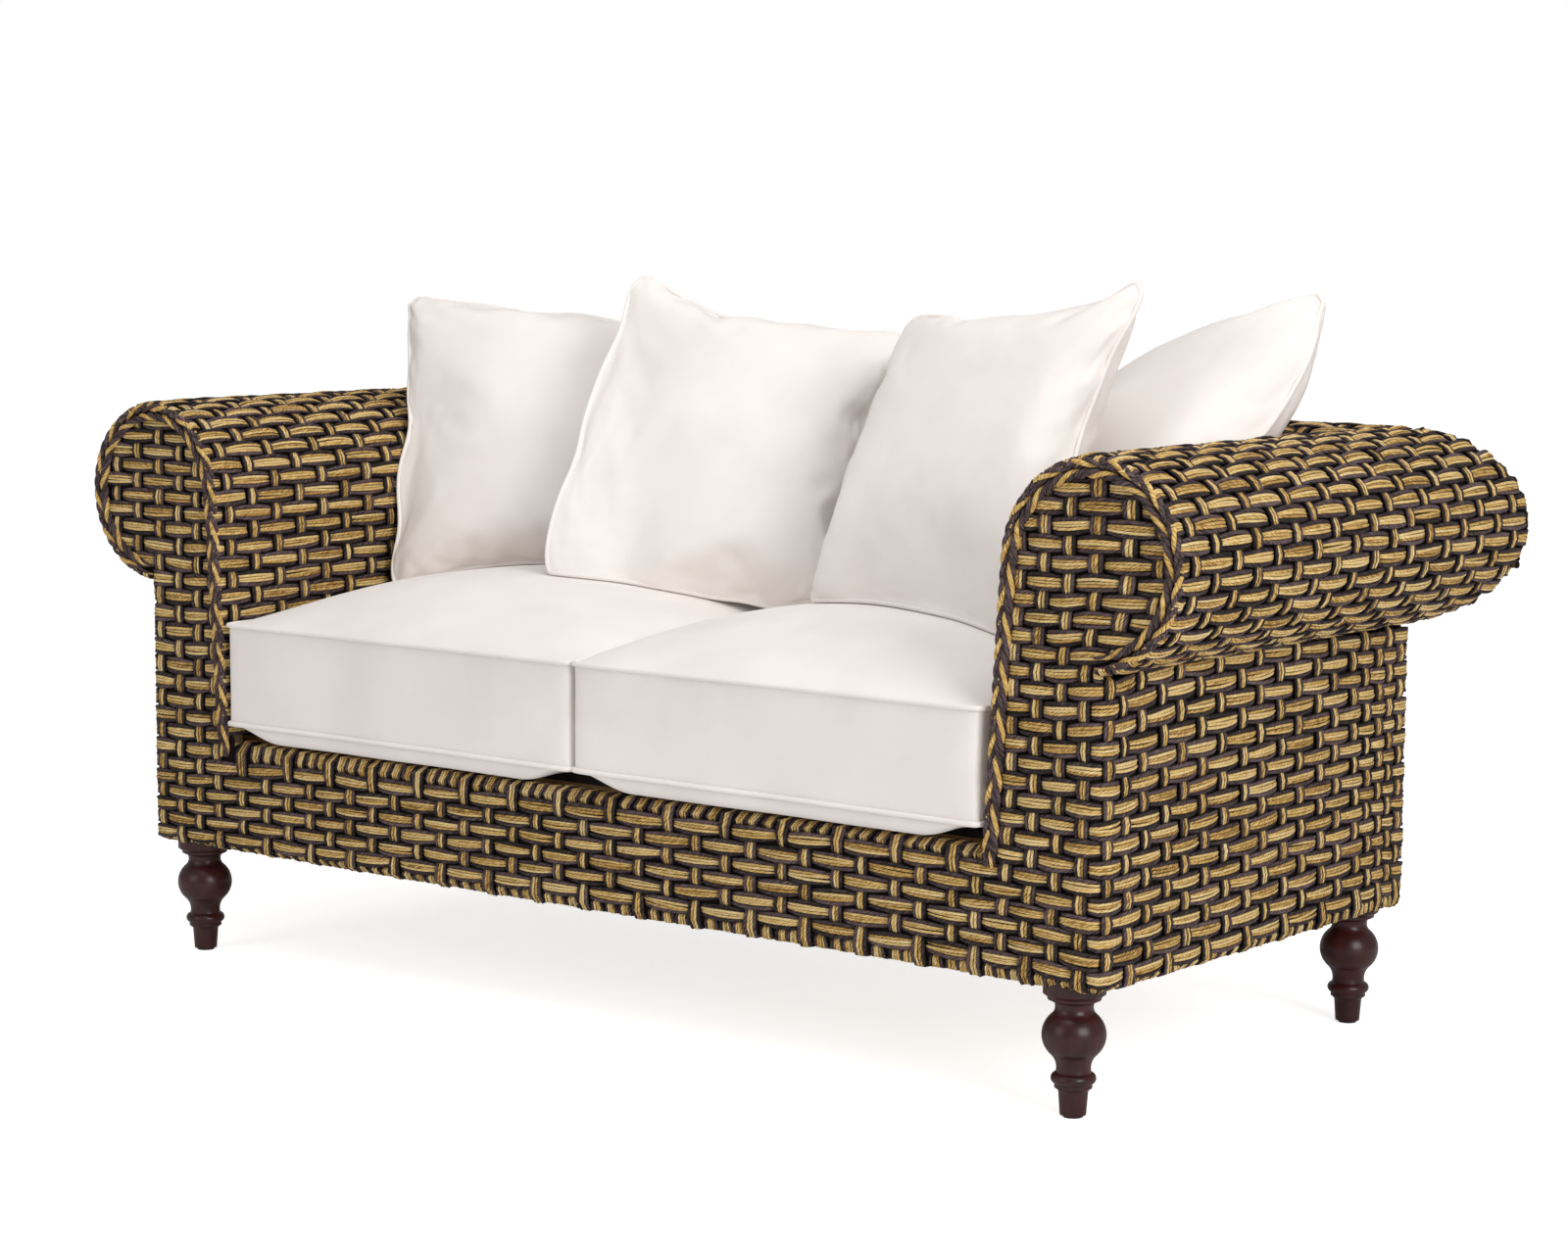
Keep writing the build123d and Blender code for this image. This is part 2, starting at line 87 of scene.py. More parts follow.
# %% Camera at the photograph's angle
picture_width, focal_length = 1600, 3670.2  # in pixels
look_down, tip_over, heading = 6.733, -0.288, 38.546  # in degrees
camera_data = bpy.data.cameras.new("camera")
camera = bpy.data.objects.new("camera", camera_data)
bpy.context.scene.collection.objects.link(camera)
bpy.context.scene.camera = camera
camera_data.sensor_width = 36.0
camera_data.lens = focal_length / picture_width * camera_data.sensor_width
camera_data.clip_end = 100.0
camera.location = (3.1073, -3.8822, 1.0851)
camera.rotation_euler = [math.radians(turn) for turn in (90 - look_down, tip_over, heading)]
bpy.context.view_layer.update()
print("lens", round(camera_data.lens, 1), "mm")

# %% [markdown]
# ## Meshes from whole arrays
# A tube is a grid of rings and sides, and a woven skin is some thousands of short tubes. One
# bevelled curve for each would be slow to make. So the maker below takes an array of tubes at
# once. It closes both ends, turns every face outwards by the sign of the tube's volume, and
# keeps the run along the tube for the material.


# %% Tubes as arrays
def tubes(points, along, slot, tone, ring=False):
    """Closed tubes from points (tube, ring, side, xyz): quads between neighbours, and a cap at
    each end; a ring is closed on itself instead. u is the run along, v the turn round the tube.
    """
    count, rings, side_count, _ = points.shape
    index = np.arange(count * rings * side_count).reshape(count, rings, side_count)
    beside = np.roll(index, -1, axis=2)
    u = np.broadcast_to(along[:, :, None], (count, rings, side_count))
    v0 = np.broadcast_to(np.arange(side_count) / side_count, (count, rings, side_count))
    v1 = v0 + 1 / side_count
    if ring:
        ahead, beside_ahead = np.roll(index, -1, axis=1), np.roll(beside, -1, axis=1)
        step = u[:, 1:2] - u[:, :1]
        first = (index, beside, beside_ahead, ahead)
        lay = ((u, v0), (u, v1), (u + step, v1), (u + step, v0))
    else:
        first = (index[:, :-1], beside[:, :-1], beside[:, 1:], index[:, 1:])
        lay = ((u[:, :-1], v0[:, :-1]), (u[:, :-1], v1[:, :-1]),
               (u[:, 1:], v1[:, 1:]), (u[:, 1:], v0[:, 1:]))
    quads = np.stack(first, -1).reshape(count, -1, 4)
    quad_uv = np.stack([np.stack(pair, -1) for pair in lay], -2).reshape(count, -1, 4, 2)
    flat = points.reshape(-1, 3)
    middle = points.mean(axis=(1, 2))[:, None]
    a, b, c, d = (flat[quads[:, :, k]] - middle for k in range(4))
    volume = (a * np.cross(b, c)).sum((1, 2)) + (a * np.cross(c, d)).sum((1, 2))
    inside_out = volume < 0
    quads[inside_out] = quads[inside_out][:, :, ::-1]
    quad_uv[inside_out] = quad_uv[inside_out][:, :, ::-1]
    faces = [(quads.reshape(-1, 4), quad_uv.reshape(-1, 4, 2), np.repeat(slot, quads.shape[1]),
              np.repeat(tone, quads.shape[1]))]
    if not ring:
        starts, ends = index[:, 0, ::-1].copy(), index[:, -1].copy()
        starts[inside_out] = starts[inside_out][:, ::-1]
        ends[inside_out] = ends[inside_out][:, ::-1]
        for caps, run in ((starts, along[:, 0]), (ends, along[:, -1])):
            uv = np.stack([np.repeat(run[:, None], side_count, 1),
                           np.full((count, side_count), 0.5)], -1)
            faces.append((caps, uv, slot, tone))
    return flat, faces


# %% Sheets with thickness
def rim_of(index):
    """The points round a grid of point numbers, in order and each once."""
    return np.concatenate([index[0, :-1], index[:-1, -1], index[-1, :0:-1], index[:0:-1, 0]])


def slab(outer, inner, slot):
    """A closed sheet with thickness: two grids (row, column, xyz) and the walls between rims."""
    rows, columns, _ = outer.shape
    index = np.arange(rows * columns).reshape(rows, columns)
    top = np.stack([index[:-1, :-1], index[:-1, 1:], index[1:, 1:], index[1:, :-1]], -1)
    rim = rim_of(index)
    on = np.roll(rim, -1)
    under = top.reshape(-1, 4) + rows * columns
    walls = np.stack([rim, rim + rows * columns, on + rows * columns, on], -1)
    quads = np.concatenate([top.reshape(-1, 4), under[:, ::-1], walls])
    flat = np.concatenate([outer.reshape(-1, 3), inner.reshape(-1, 3)])
    a, b, c, d = (flat[quads[:, k]] - flat.mean(0) for k in range(4))
    if (a * np.cross(b, c)).sum() + (a * np.cross(c, d)).sum() < 0:
        quads = quads[:, ::-1]
    uv = flat[quads][:, :, :2]
    return flat, [(quads, uv, np.full(len(quads), slot), np.full(len(quads), 0.5))]


# %% Arrays into one mesh object
def make_piece(name, bundles, materials):
    """One object from bundles of (points, faces): arrays are joined and put in by foreach_set."""
    points, corners, starts, uvs, slots, tones = [], [], [], [], [], []
    first, run = 0, 0
    for flat, faces in bundles:
        points.append(flat)
        for face, uv, slot, tone in faces:
            corners.append((face + first).ravel())
            starts.append(run + np.arange(len(face)) * face.shape[1])
            run += face.size
            uvs.append(uv.reshape(-1, 2))
            slots.append(slot)
            tones.append(tone)
        first += len(flat)
    points, corners, starts = map(np.concatenate, (points, corners, starts))
    mesh = bpy.data.meshes.new(name)
    mesh.vertices.add(len(points))
    mesh.vertices.foreach_set("co", (points * mm).astype(np.float32).ravel())
    mesh.loops.add(len(corners))
    mesh.loops.foreach_set("vertex_index", corners.astype(np.int32))
    mesh.polygons.add(len(starts))
    mesh.polygons.foreach_set("loop_start", starts.astype(np.int32))
    mesh.polygons.foreach_set("material_index", np.concatenate(slots).astype(np.int32))
    mesh.update(calc_edges=True)
    mesh.uv_layers.new(name="run").data.foreach_set(
        "uv", np.concatenate(uvs).astype(np.float32).ravel())
    mesh.attributes.new("tone", "FLOAT", "FACE").data.foreach_set(
        "value", np.concatenate(tones).astype(np.float32))
    mesh.shade_smooth()
    mesh.validate()
    for material in materials:
        mesh.materials.append(material)
    piece = bpy.data.objects.new(name, mesh)
    bpy.context.scene.collection.objects.link(piece)
    return piece


# %% [markdown]
# ## Colours and material nodes
# Colours are written as the sRGB hex values that an eye would pick, and one function turns
# them into the linear values that the shader reads. One more function adds any kind of node.


# %% Colour and node helpers
def ink(code):
    """Linear RGBA of an sRGB hex colour: c / 12.92 near black, ((c + 0.055) / 1.055) ** 2.4."""
    parts = [int(code[k:k + 2], 16) / 255 for k in (1, 3, 5)]
    return [c / 12.92 if c <= 0.04045 else ((c + 0.055) / 1.055) ** 2.4 for c in parts] + [1.0]


def add_node(tree, kind, settings=(), values=(), links=(), stops=()):
    """Adds a node, sets its properties, sockets and colour stops, and links sockets into it."""
    node = tree.nodes.new(kind)
    for key, value in dict(settings).items():
        setattr(node, key, value)
    for key, value in dict(values).items():
        node.inputs[key].default_value = value
    for key, source in dict(links).items():
        tree.links.new(source, node.inputs[key])
    if stops:
        elements = node.color_ramp.elements
        while len(elements) < len(stops):
            elements.new(0.5)
        for element, (place, colour) in zip(elements, stops):
            element.position = place
            element.color = ink(colour)
    return node


def start_material(name):
    """A new material with an empty tree and its output node."""
    material = bpy.data.materials.new(name)
    material.use_nodes = True
    material.node_tree.nodes.clear()
    return material, material.node_tree, material.node_tree.nodes.new("ShaderNodeOutputMaterial")


# %% [markdown]
# ## Twisted cord
# The cord is made like paper or seagrass cord: flat fibres twisted into a strand. The eye gets
# fine slanted ridges, colour that changes from fibre to fibre, and a dull sheen. Real fibres
# could be modelled only for a single cord. So the pattern is drawn on the run along each cord
# and the turn round it, which lets it follow every bend. The shade in the grooves between plies
# and on the flanks of each cord is painted into that pattern.

# %% Sizes of the cord's pattern
twist_rate = 38.0    # turns of the twist in a metre, so one in 26 mm
fibre_count = 13.0   # streaks round a cord, each a little over 1 mm wide
streak_rate = 85.0   # streaks in a metre along the cord, so each is 12 mm long
ply_count = 4        # plies in the lay of a cord
tone_seed = 57.0     # moves the noise from cord to cord
tone_share = 0.2     # how much lighter or darker a whole cord may be
ridge_depth = 1.4 * mm
print("one turn of the twist in", round(1000 / twist_rate), "mm")


# %% Cord materials
def cord_material(name, colours, groove, ridge, sheen, crease_share=0.8):
    """Fibre streaks from noise along the twist; painted shade darkens the grooves between plies
    and cords.
    """
    material, tree, out = start_material(name)
    run = add_node(tree, "ShaderNodeUVMap", {"uv_map": "run"})
    tone = add_node(tree, "ShaderNodeAttribute", {"attribute_name": "tone"})
    split = add_node(tree, "ShaderNodeSeparateXYZ", links={"Vector": run.outputs["UV"]})
    turned = add_node(tree, "ShaderNodeMath", {"operation": "MULTIPLY_ADD"}, {1: twist_rate},
                      {0: split.outputs["X"], 2: split.outputs["Y"]})
    fibres = add_node(tree, "ShaderNodeMath", {"operation": "MULTIPLY"}, {1: fibre_count},
                      {0: turned.outputs[0]})
    seed = add_node(tree, "ShaderNodeMath", {"operation": "MULTIPLY"}, {1: tone_seed},
                    {0: tone.outputs["Fac"]})
    stretch = add_node(tree, "ShaderNodeMath", {"operation": "MULTIPLY"}, {1: streak_rate},
                       {0: split.outputs["X"]})
    lookup = add_node(tree, "ShaderNodeCombineXYZ",
                      links={"X": stretch.outputs[0], "Y": fibres.outputs[0],
                             "Z": seed.outputs[0]})
    noise = add_node(tree, "ShaderNodeTexNoise", {"noise_dimensions": "3D"},
                     {"Scale": 1.0, "Detail": 4.0, "Roughness": 0.65},
                     {"Vector": lookup.outputs[0]})
    mixed = add_node(tree, "ShaderNodeMath", {"operation": "MULTIPLY_ADD"}, {1: tone_share},
                     {0: tone.outputs["Fac"], 2: noise.outputs["Fac"]})
    colour = add_node(tree, "ShaderNodeValToRGB", links={"Fac": mixed.outputs[0]},
                      stops=list(zip((0.46, 0.54, 0.62, 0.76), colours)))
    # Painted shade: the grooves between the plies take the groove colour
    plies = add_node(tree, "ShaderNodeMath", {"operation": "MULTIPLY"},
                     {1: 6.2832 * ply_count}, {0: turned.outputs[0]})
    wave = add_node(tree, "ShaderNodeMath", {"operation": "SINE"}, links={0: plies.outputs[0]})
    ply = add_node(tree, "ShaderNodeMapRange", values={
        "From Min": -1.0, "From Max": -0.55, "To Min": 0.45, "To Max": 0.0},
        links={"Value": wave.outputs[0]})
    # The top of a cord is at half a turn; its flanks are painted darker, as shade from the next
    # cord
    turn = add_node(tree, "ShaderNodeMath", {"operation": "SUBTRACT"}, {1: 0.5},
                    {0: split.outputs["Y"]})
    off_top = add_node(tree, "ShaderNodeMath", {"operation": "ABSOLUTE"},
                       links={0: turn.outputs[0]})
    crease = add_node(tree, "ShaderNodeMapRange", values={
        "From Min": 0.09, "From Max": 0.18, "To Min": 0.0, "To Max": crease_share},
        links={"Value": off_top.outputs[0]})
    dark = add_node(tree, "ShaderNodeMath", {"operation": "ADD", "use_clamp": True},
                    links={0: ply.outputs[0], 1: crease.outputs[0]})
    shade = add_node(tree, "ShaderNodeMix", {"data_type": "RGBA"}, {7: ink(groove)},
                     {0: dark.outputs[0], 6: colour.outputs["Color"]})
    height = add_node(tree, "ShaderNodeMath", {"operation": "MULTIPLY_ADD"}, {1: 0.2},
                      {0: wave.outputs[0], 2: noise.outputs["Fac"]})
    bump = add_node(tree, "ShaderNodeBump", values={"Strength": ridge, "Distance": ridge_depth},
                    links={"Height": height.outputs[0]})
    skin = add_node(tree, "ShaderNodeBsdfPrincipled", values={
        "Roughness": 0.62, "IOR": 1.48, "Specular IOR Level": sheen},
        links={"Base Color": shade.outputs[2], "Normal": bump.outputs[0]})
    tree.links.new(skin.outputs[0], out.inputs["Surface"])
    return material


# Straw: undyed golden cord; its darker slanted lines are painted shade in the grooves between
# plies
straws = ("#87602B", "#D0A557", "#ECC578", "#FCE4AE")
straw_cord = cord_material("straw_twisted_cord", straws, "#4A3318", 1.0, 0.3)
straw_rope = cord_material("straw_rope_strand", straws, "#4A3318", 1.0, 0.3, 0.0)
# Umber: dyed cord, brown grey on the ridges; near black in the grooves, which is painted shade
umbers = ("#130E0D", "#2C2222", "#453738", "#776264")
umber_cord = cord_material("umber_twisted_cord", umbers, "#120D0D", 1.0, 0.25)
umber_rope = cord_material("umber_rope_strand", umbers, "#120D0D", 1.0, 0.25, 0.0)
# The ground behind the floats: umber cord with little shine, dark all over; partly painted shade
# of the weave's inside
backing = cord_material("umber_backing_cord", umbers, "#1E1617", 0.6, 0.1)
cords = [straw_cord, umber_cord, backing]
straw, umber, ground_slot = range(3)
print("cord materials:", *(material.name for material in cords))

# %% [markdown]
# ## The surfaces that are woven
# A weaver lays every cord on a surface, and the weave stretches and leans with it. Each surface
# is therefore a function of the run along a row, the run up a column and the height above the
# surface, all in millimetres. A cord is laid by giving its numbers to that function, so one
# weave serves every skin. Arms and back come first: both follow the scroll section.


# %% Surface functions of arms and back
def scroll_section(run, height):
    """Up the leaning wall, then round the scroll's circle; height leaves the section square."""
    turn = arc_start - (run - wall_run) / roll_radius
    out = np.where(run < wall_run, run * math.cos(lean) - height * math.sin(lean),
                   roll_out + (roll_radius + height) * np.cos(turn))
    up = np.where(run < wall_run, rail_top + run * math.sin(lean) + height * math.cos(lean),
                  roll_height + (roll_radius + height) * np.sin(turn))
    return out, up


def on_arm(side):
    """The arm: rows run from front to back, columns follow the scroll section."""
    def place(row, column, height):
        out, up = scroll_section(column, height)
        return np.stack(np.broadcast_arrays(side * (inner_half + out), row, up), -1)
    return place


def on_back(row, column, height):
    """The back: the same section turned to the rear, with rows across."""
    out, up = scroll_section(column, height)
    return np.stack(np.broadcast_arrays(row, back_inner + out, up), -1)


# %% [markdown]
# ## Rows and columns that wander
# Rows woven by hand are not level, and the columns of the arm fronts spread as they rise. Even
# rows would look like a print. So the heights of a few rows are given at places round the base,
# and the rows between them lie on straight lines. The photograph shows the front and the right
# side. The left side mirrors the right one and the rear carries its last heights on, as guesses.

# %% Heights of rows round the base
straight_front = outer_half - corner_radius
bend = corner_radius * math.pi / 2
straight_side = rear_face - front_face - 2 * corner_radius
# Where the parts of half the base end, from the middle of the front to the middle of the rear
marks = np.cumsum([straight_front, bend, straight_side, bend, straight_front])
half_loop = marks[-1]
first_row, base_pitch = 181.0, 22.0
known_rows = np.array([-2.0, 0, 5, 10, 15, 20, 26, 28])
row_knots = first_row + base_pitch * known_rows
row_places = np.array([-2364, -1600, -1479, -1229, -979, -830, -740, -600, -350, 0, 450, 660, 750,
                       815, 979, 1229, 1479, 1600, 2364])
# One line for each place: heights of rows 0, 5, 10, 15, 20 and 26
side_heights = [(185, 298, 411, 524, 635, 768), (185, 298, 411, 524, 635, 768),
                (191, 303, 409, 524, 635, 768), (186, 301, 411, 531, 642, 775),
                (181, 293, 407, 534, 645, 778)]
front_heights = [(177, 277, 395, 521, 640, 768), (177, 276, 394, 519, 640, 768),
                 (180, 283, 401, 526, 640, 768), (182, 288, 402, 520, 630, 760),
                 (187, 292, 402, 520, 630, 760), (190, 298, 402, 520, 630, 760),
                 (188, 294, 406, 517, 624, 759), (185, 291, 405, 516, 623, 758),
                 (178, 288, 404, 522, 630, 760)]
row_heights = np.array(side_heights + front_heights + side_heights[::-1], float)
below, above = 42, 46  # two rows more at the foot and at the top, off the given ones
row_heights = np.column_stack([row_heights[:, 0] - below, row_heights,
                               row_heights[:, -1] + above])
print("row heights at", len(row_places), "places round", round(2 * half_loop), "mm")


def row_level(place, row):
    """Height that a row has at a place round the base, by straight lines between the places."""
    levels = np.stack([np.interp(row, row_knots, heights) for heights in row_heights])
    where = np.interp(place, row_places, np.arange(len(row_places)))
    first = np.minimum(where.astype(int), len(row_places) - 2)
    low = np.take_along_axis(levels, first[None], 0)[0]
    high = np.take_along_axis(levels, first[None] + 1, 0)[0]
    return low + (high - low) * (where - first)


def front_fan(row, up):
    """How far a column of an arm front stands out: a height curve times a share by its place.

    The two arms differ a little, because each was woven for itself.
    """
    run, right = np.abs(row), row > 0
    lower = np.interp(up, (240, 290, 400, 540), (-3, 3, 8, 10)) * np.where(
        right, np.interp(run, (643, 683, 718, 755, 793, 815), (0, 1, 1, 0.75, 0.2, 0)),
        np.interp(run, (640, 685, 715), (0, 0.8, 0)))
    upper = np.interp(up, (540, 650, 760), (0, 9, 11)) * np.where(
        right,
        np.interp(run, (643, 683, 718, 755, 793, 830, 870), (0, 0.9, 0.8, 0.9, 1.4, 2.6, 2.8)),
        np.interp(run, (722, 762, 801), (0, -0.5, 0)))
    return np.sign(row) * (lower + upper)


# %% [markdown]
# ## The base as a surface
# The base is a box with rounded upright corners, and its rows run round it in rings. At the
# foot the columns turn under, and between the arms they turn over the front rail. Both turns
# are quarter circles, and past them the column runs on flat.

# %% Surface functions of the base
foot_level, foot_round = 161.0, 12.0
rail_crest, top_round = 319.0, 14.0
crest_half = inner_half + 11
# The columns of the side walls lean: this much for each mm below the upright height
side_lean, upright_height = 0.075, 320
lean_from, lean_to = (835, 870, 1420, 1520), (0, 1, 1, 0)


def base_point(row):
    """Plan of the base: distance from the middle of the front, both ways round the corners."""
    row = (row + half_loop) % (2 * half_loop) - half_loop
    way, run = np.sign(row), np.abs(row)
    first = (run - marks[0]) / corner_radius
    second = (run - marks[2]) / corner_radius
    turn = np.clip(first, 0, math.pi / 2) + np.clip(second, 0, math.pi / 2)
    nx, ny = np.sin(turn), -np.cos(turn)
    x = np.where(run < marks[0], run, np.where(run < marks[3], straight_front + corner_radius * nx,
                                               marks[4] - run))
    y = np.where(run < marks[0], front_face, front_face + corner_radius + corner_radius * ny)
    y = np.where(run > marks[1], front_face + corner_radius
                 + np.clip(run - marks[1], 0, straight_side) + corner_radius * ny, y)
    return way * x, y, way * nx, ny


def on_base(row, column, height):
    """The base walls: columns are heights, rounded under at the foot and over the front rail."""
    row, column, height = np.broadcast_arrays(row, column, height)
    up = row_level(row, column)
    slant = side_lean * (upright_height - up) * np.interp(np.abs(row), lean_from, lean_to)
    row = row + np.where(np.abs(row) < marks[1], front_fan(row, up), np.sign(row) * slant)
    x, y, nx, ny = base_point(row)
    foot = foot_level + foot_round
    under = np.clip((foot - up) / foot_round, 0, math.pi / 2)
    flat = np.clip(foot - foot_round * math.pi / 2 - up, 0, None)
    crest = np.where(np.abs(row) < crest_half, rail_crest - top_round, 1e6)
    over = np.clip((up - crest) / top_round, 0, math.pi / 2)
    flat = flat + np.clip(up - crest - top_round * math.pi / 2, 0, None)
    inset = (foot_round + height) * (1 - np.cos(under)) + (top_round + height) * (1 - np.cos(over))
    away = height - inset - flat
    z = np.clip(up, foot, crest) - (foot_round + height) * np.sin(under)
    z = z + (top_round + height) * np.sin(over)
    return np.stack([x + nx * away, y + ny * away, z], -1)


def on_scroll_front(side):
    """The flat front of a scroll: rows are distances from the middle, columns are heights."""
    last_place = 790  # past it the rows keep the level that they have there

    def place(row, column, height):
        row, column, height = np.broadcast_arrays(row, column, height)
        up = row_level(side * np.minimum(row, last_place), column)
        x = side * row + front_fan(side * row, up)
        return np.stack([x, front_face - height, up], -1)
    return place


# %% [markdown]
# ## The weave
# It is a plain weave of bands. A row band is five cords, three straw ones between two umber
# ones. A column band is four, two straw between two umber. Where a row lies on top, it shows as
# a float that dives under the columns beside it, and the column shows at the next crossing.
# Whole cords could run through the weave, but half of each would lie unseen. So each float is
# its own short cord with both ends tucked away, which keeps the count of faces low.

# %% Sizes of the bands
random = np.random.default_rng(7)
# Places and widths of the cords in a row band, as shares of the distance between rows
row_band = np.array([-9.3, -4.2, 0.0, 4.2, 9.3]) / 24
row_wide = np.array([6.4, 4.9, 4.9, 4.9, 6.4]) / 24
row_slots = np.array([umber, straw, straw, straw, umber])
# Those of a column band, in mm
column_band = np.array([-7.6, -2.5, 2.5, 7.6])
column_wide = np.array([6.0, 5.3, 5.3, 6.0])
column_slots = np.array([umber, straw, straw, umber])
cord_tall = 4.8
tuck = 6.5  # how far a float stops before the next crossing
row_top, row_drop = 1.2, 7.4
column_top, column_drop = 0.2, 6.0
shortest_row, shortest_column = 16, 9
# Rings of a cord: places along it from -1 to 1, and how thick it is there
long_rings = np.array([[-1.0, -0.8, -0.45, 0.0, 0.45, 0.8, 1.0],
                       [0.7, 0.95, 1.0, 1.0, 1.0, 0.95, 0.7]])
short_rings = np.array([[-1.0, -0.65, 0.0, 0.65, 1.0], [0.7, 1.0, 1.0, 1.0, 0.7]])
# Six sides from below, so that the middle of the turn is the top
side_turns = np.radians(-90 + 60 * np.arange(6))
print("a row band takes", round(row_band[-1] - row_band[0] + row_wide[0], 2), "of the row pitch")

# %% Unevenness of hand work
wander_band, wander_cord = 0.5, 0.3  # sideways, of a whole band and of each cord in it
slant_spread = 0.018
lift_spread = 0.45
dive = 2.6         # the higher, the flatter the float's top and the steeper its ends
narrow = 0.12      # how far the band draws together at its ends
end_drop, end_reach = 6.0, 9.0  # a float that is cut short bends down within this reach


# %% Cords laid on a surface
def lay_cords(place, upright, middle, low, high, cross, offsets, slots, wides, top=row_top,
              drop=row_drop, reach=None, rings=long_rings):
    """Floats as tubes: height = top - drop * (distance / half length) ** dive, bowed as a lens."""
    count, many = len(middle), len(offsets)
    ring_places, ring_taper = rings
    wander = random.normal(0, wander_band, (count, 1)) + random.normal(
        0, wander_cord, (count, many))
    slant = random.normal(0, slant_spread, (count, 1)) + random.normal(
        0, slant_spread, (count, many))
    lift = random.normal(0, lift_spread, (count, many))
    tone = random.random((count, many))
    start = random.random((count, many)) * 5
    along = low[:, None] + (high - low)[:, None] * (ring_places + 1) / 2
    half = np.where(along < middle[:, None], (middle - reach[0])[:, None],
                    (reach[1] - middle)[:, None])
    share = np.abs(along - middle[:, None]) / half
    rise = top - drop * share ** dive
    ends = np.minimum(along - low[:, None], high[:, None] - along)
    clipped = (low > reach[0] + 0.5) | (high < reach[1] - 0.5)
    sunk = end_drop * np.clip(1 - ends / end_reach, 0, 1) ** 2
    rise = rise - np.where(clipped[:, None], sunk, 0)
    bow = 1 - narrow + narrow * np.cos(math.pi * np.clip(share, 0, 1))
    centre = (cross[:, None, None] + offsets[None, :, None] * bow[:, None, :] + wander[:, :, None]
              + slant[:, :, None] * (along - middle[:, None])[:, None, :])
    wide = wides[None, :, None] * ring_taper / 2
    level = rise[:, None, :] + lift[:, :, None]
    across = centre[..., None] + wide[..., None] * np.cos(side_turns)
    up = level[..., None] + cord_tall / 2 * ring_taper[:, None] * np.sin(side_turns)
    run = np.broadcast_to(along[:, None, :, None], across.shape)
    points = place(across, run, up) if upright else place(run, across, up)
    shape = (count * many, len(ring_places), len(side_turns), 3)
    lay = (along[:, None, :] * mm + start[:, :, None]).reshape(count * many, -1)
    return tubes(points.reshape(shape), lay, np.tile(slots, count), tone.ravel())


# %% [markdown]
# ## Crossings
# A checkerboard of crossings decides which band is on top. A float reaches to the crossings on
# both sides of its own, less the tuck, and stops sooner where a skin ends. Each skin asks only
# for the crossings that lie on it, so neighbours share one weave.


# %% Plain weave
def with_ends(lines):
    """The lines with one more at each end, at the distance of the last two."""
    return np.concatenate([[2 * lines[0] - lines[1]], lines, [2 * lines[-1] - lines[-2]]])


def cut_floats(lines, crossing, low, high, shortest):
    """Spans of floats between the neighbours of their crossing; also which are long enough."""
    natural = lines[crossing] + tuck, lines[crossing + 2] - tuck
    low, high = np.maximum(natural[0], low), np.minimum(natural[1], high)
    return natural, low, high, high - low > shortest


def weave(place, columns, rows, row_low, row_high, column_low, column_high, keep, pitch, first=0,
          bare=()):
    """Plain weave: even crossings show the row, odd ones the column. keep picks this piece's.

    In the rows whose numbers are in bare the columns are left out, since a wrap shows there.
    """
    i, j = np.meshgrid(np.arange(len(columns)), np.arange(len(rows)), indexing="ij")
    i, j = i.ravel(), j.ravel()
    bundles = []
    on_row = (i + j + first) % 2 == 0
    for upright, on in ((False, on_row), (True, ~on_row & ~np.isin(j, bare))):
        a, b = i[on], j[on]
        if upright:
            natural, low, high, good = cut_floats(
                with_ends(rows), b, column_low[a], column_high[a], shortest_column)
        else:
            natural, low, high, good = cut_floats(
                with_ends(columns), a, row_low[b], row_high[b], shortest_row)
        good &= keep(columns[a], rows[b])
        a, b, low, high = a[good], b[good], low[good], high[good]
        reach = natural[0][good], natural[1][good]
        if upright:
            bundles.append(lay_cords(place, True, rows[b], low, high, columns[a], column_band,
                                     column_slots, column_wide, column_top, column_drop,
                                     reach, short_rings))
        else:
            bundles.append(lay_cords(place, False, columns[a], low, high, rows[b],
                                     row_band * pitch, row_slots, row_wide * pitch, reach=reach))
    return bundles


# %% [markdown]
# ## The ground and the finish of a skin
# Between real cords the eye meets the dark inside of the weave. A dark umber sheet below the cords
# stands for it, partly as painted shade, and it closes the skin. Then the skin rides on the frame
# and stands for its solid.

# %% Ground sheets and finished skins
ground_levels = (-5.6, -8.6)


def ground(place, low, high, columns, across):
    """The dark sheet 3 mm thick under the lowest cords: rows run from a low to a high line."""
    row = low + (high - low) * np.linspace(0, 1, across)[:, None]
    outer, inner = (place(row, columns[None], np.float64(level)) for level in ground_levels)
    return slab(outer, inner, ground_slot)


def finish_skin(name, bundles, node, materials=cords):
    """Makes the piece, rides it on the frame and lets it stand for its solid."""
    piece = make_piece(name, bundles, materials)
    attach(piece, "frame")
    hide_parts(node)
    print(name, len(piece.data.polygons), "faces")
    return piece


def first_last(line, inside):
    """The first and last value of a line where a condition holds, or an empty span."""
    if not inside.any():
        return 1.0, 0.0
    return line[inside.argmax()], line[len(line) - 1 - inside[::-1].argmax()]


# %% [markdown]
# ## Arms and back
# The weaver carries the columns up the inner wall and over the scroll in one go, and the rows
# of arm and back meet at a mitre. So the inner skins and the scrolls share columns and rows.
# Each row ends where the mitre cuts it, and each column spans what lies in front of the mitre.

# %% Rows and columns of the scroll section
scroll_count = 40
scroll_pitch = section_run / scroll_count
scroll_rows = scroll_pitch * (np.arange(scroll_count) + 0.5)
row_out = scroll_section(scroll_rows, 0.0)[0]
skin_runs = {"inner": (0.0, wall_run), "roll": (wall_run, section_run)}
table = np.linspace(0, section_run, 2000)
table_out = scroll_section(table, 0.0)[0]
arm_front, arm_ground_front = -422.0, -412
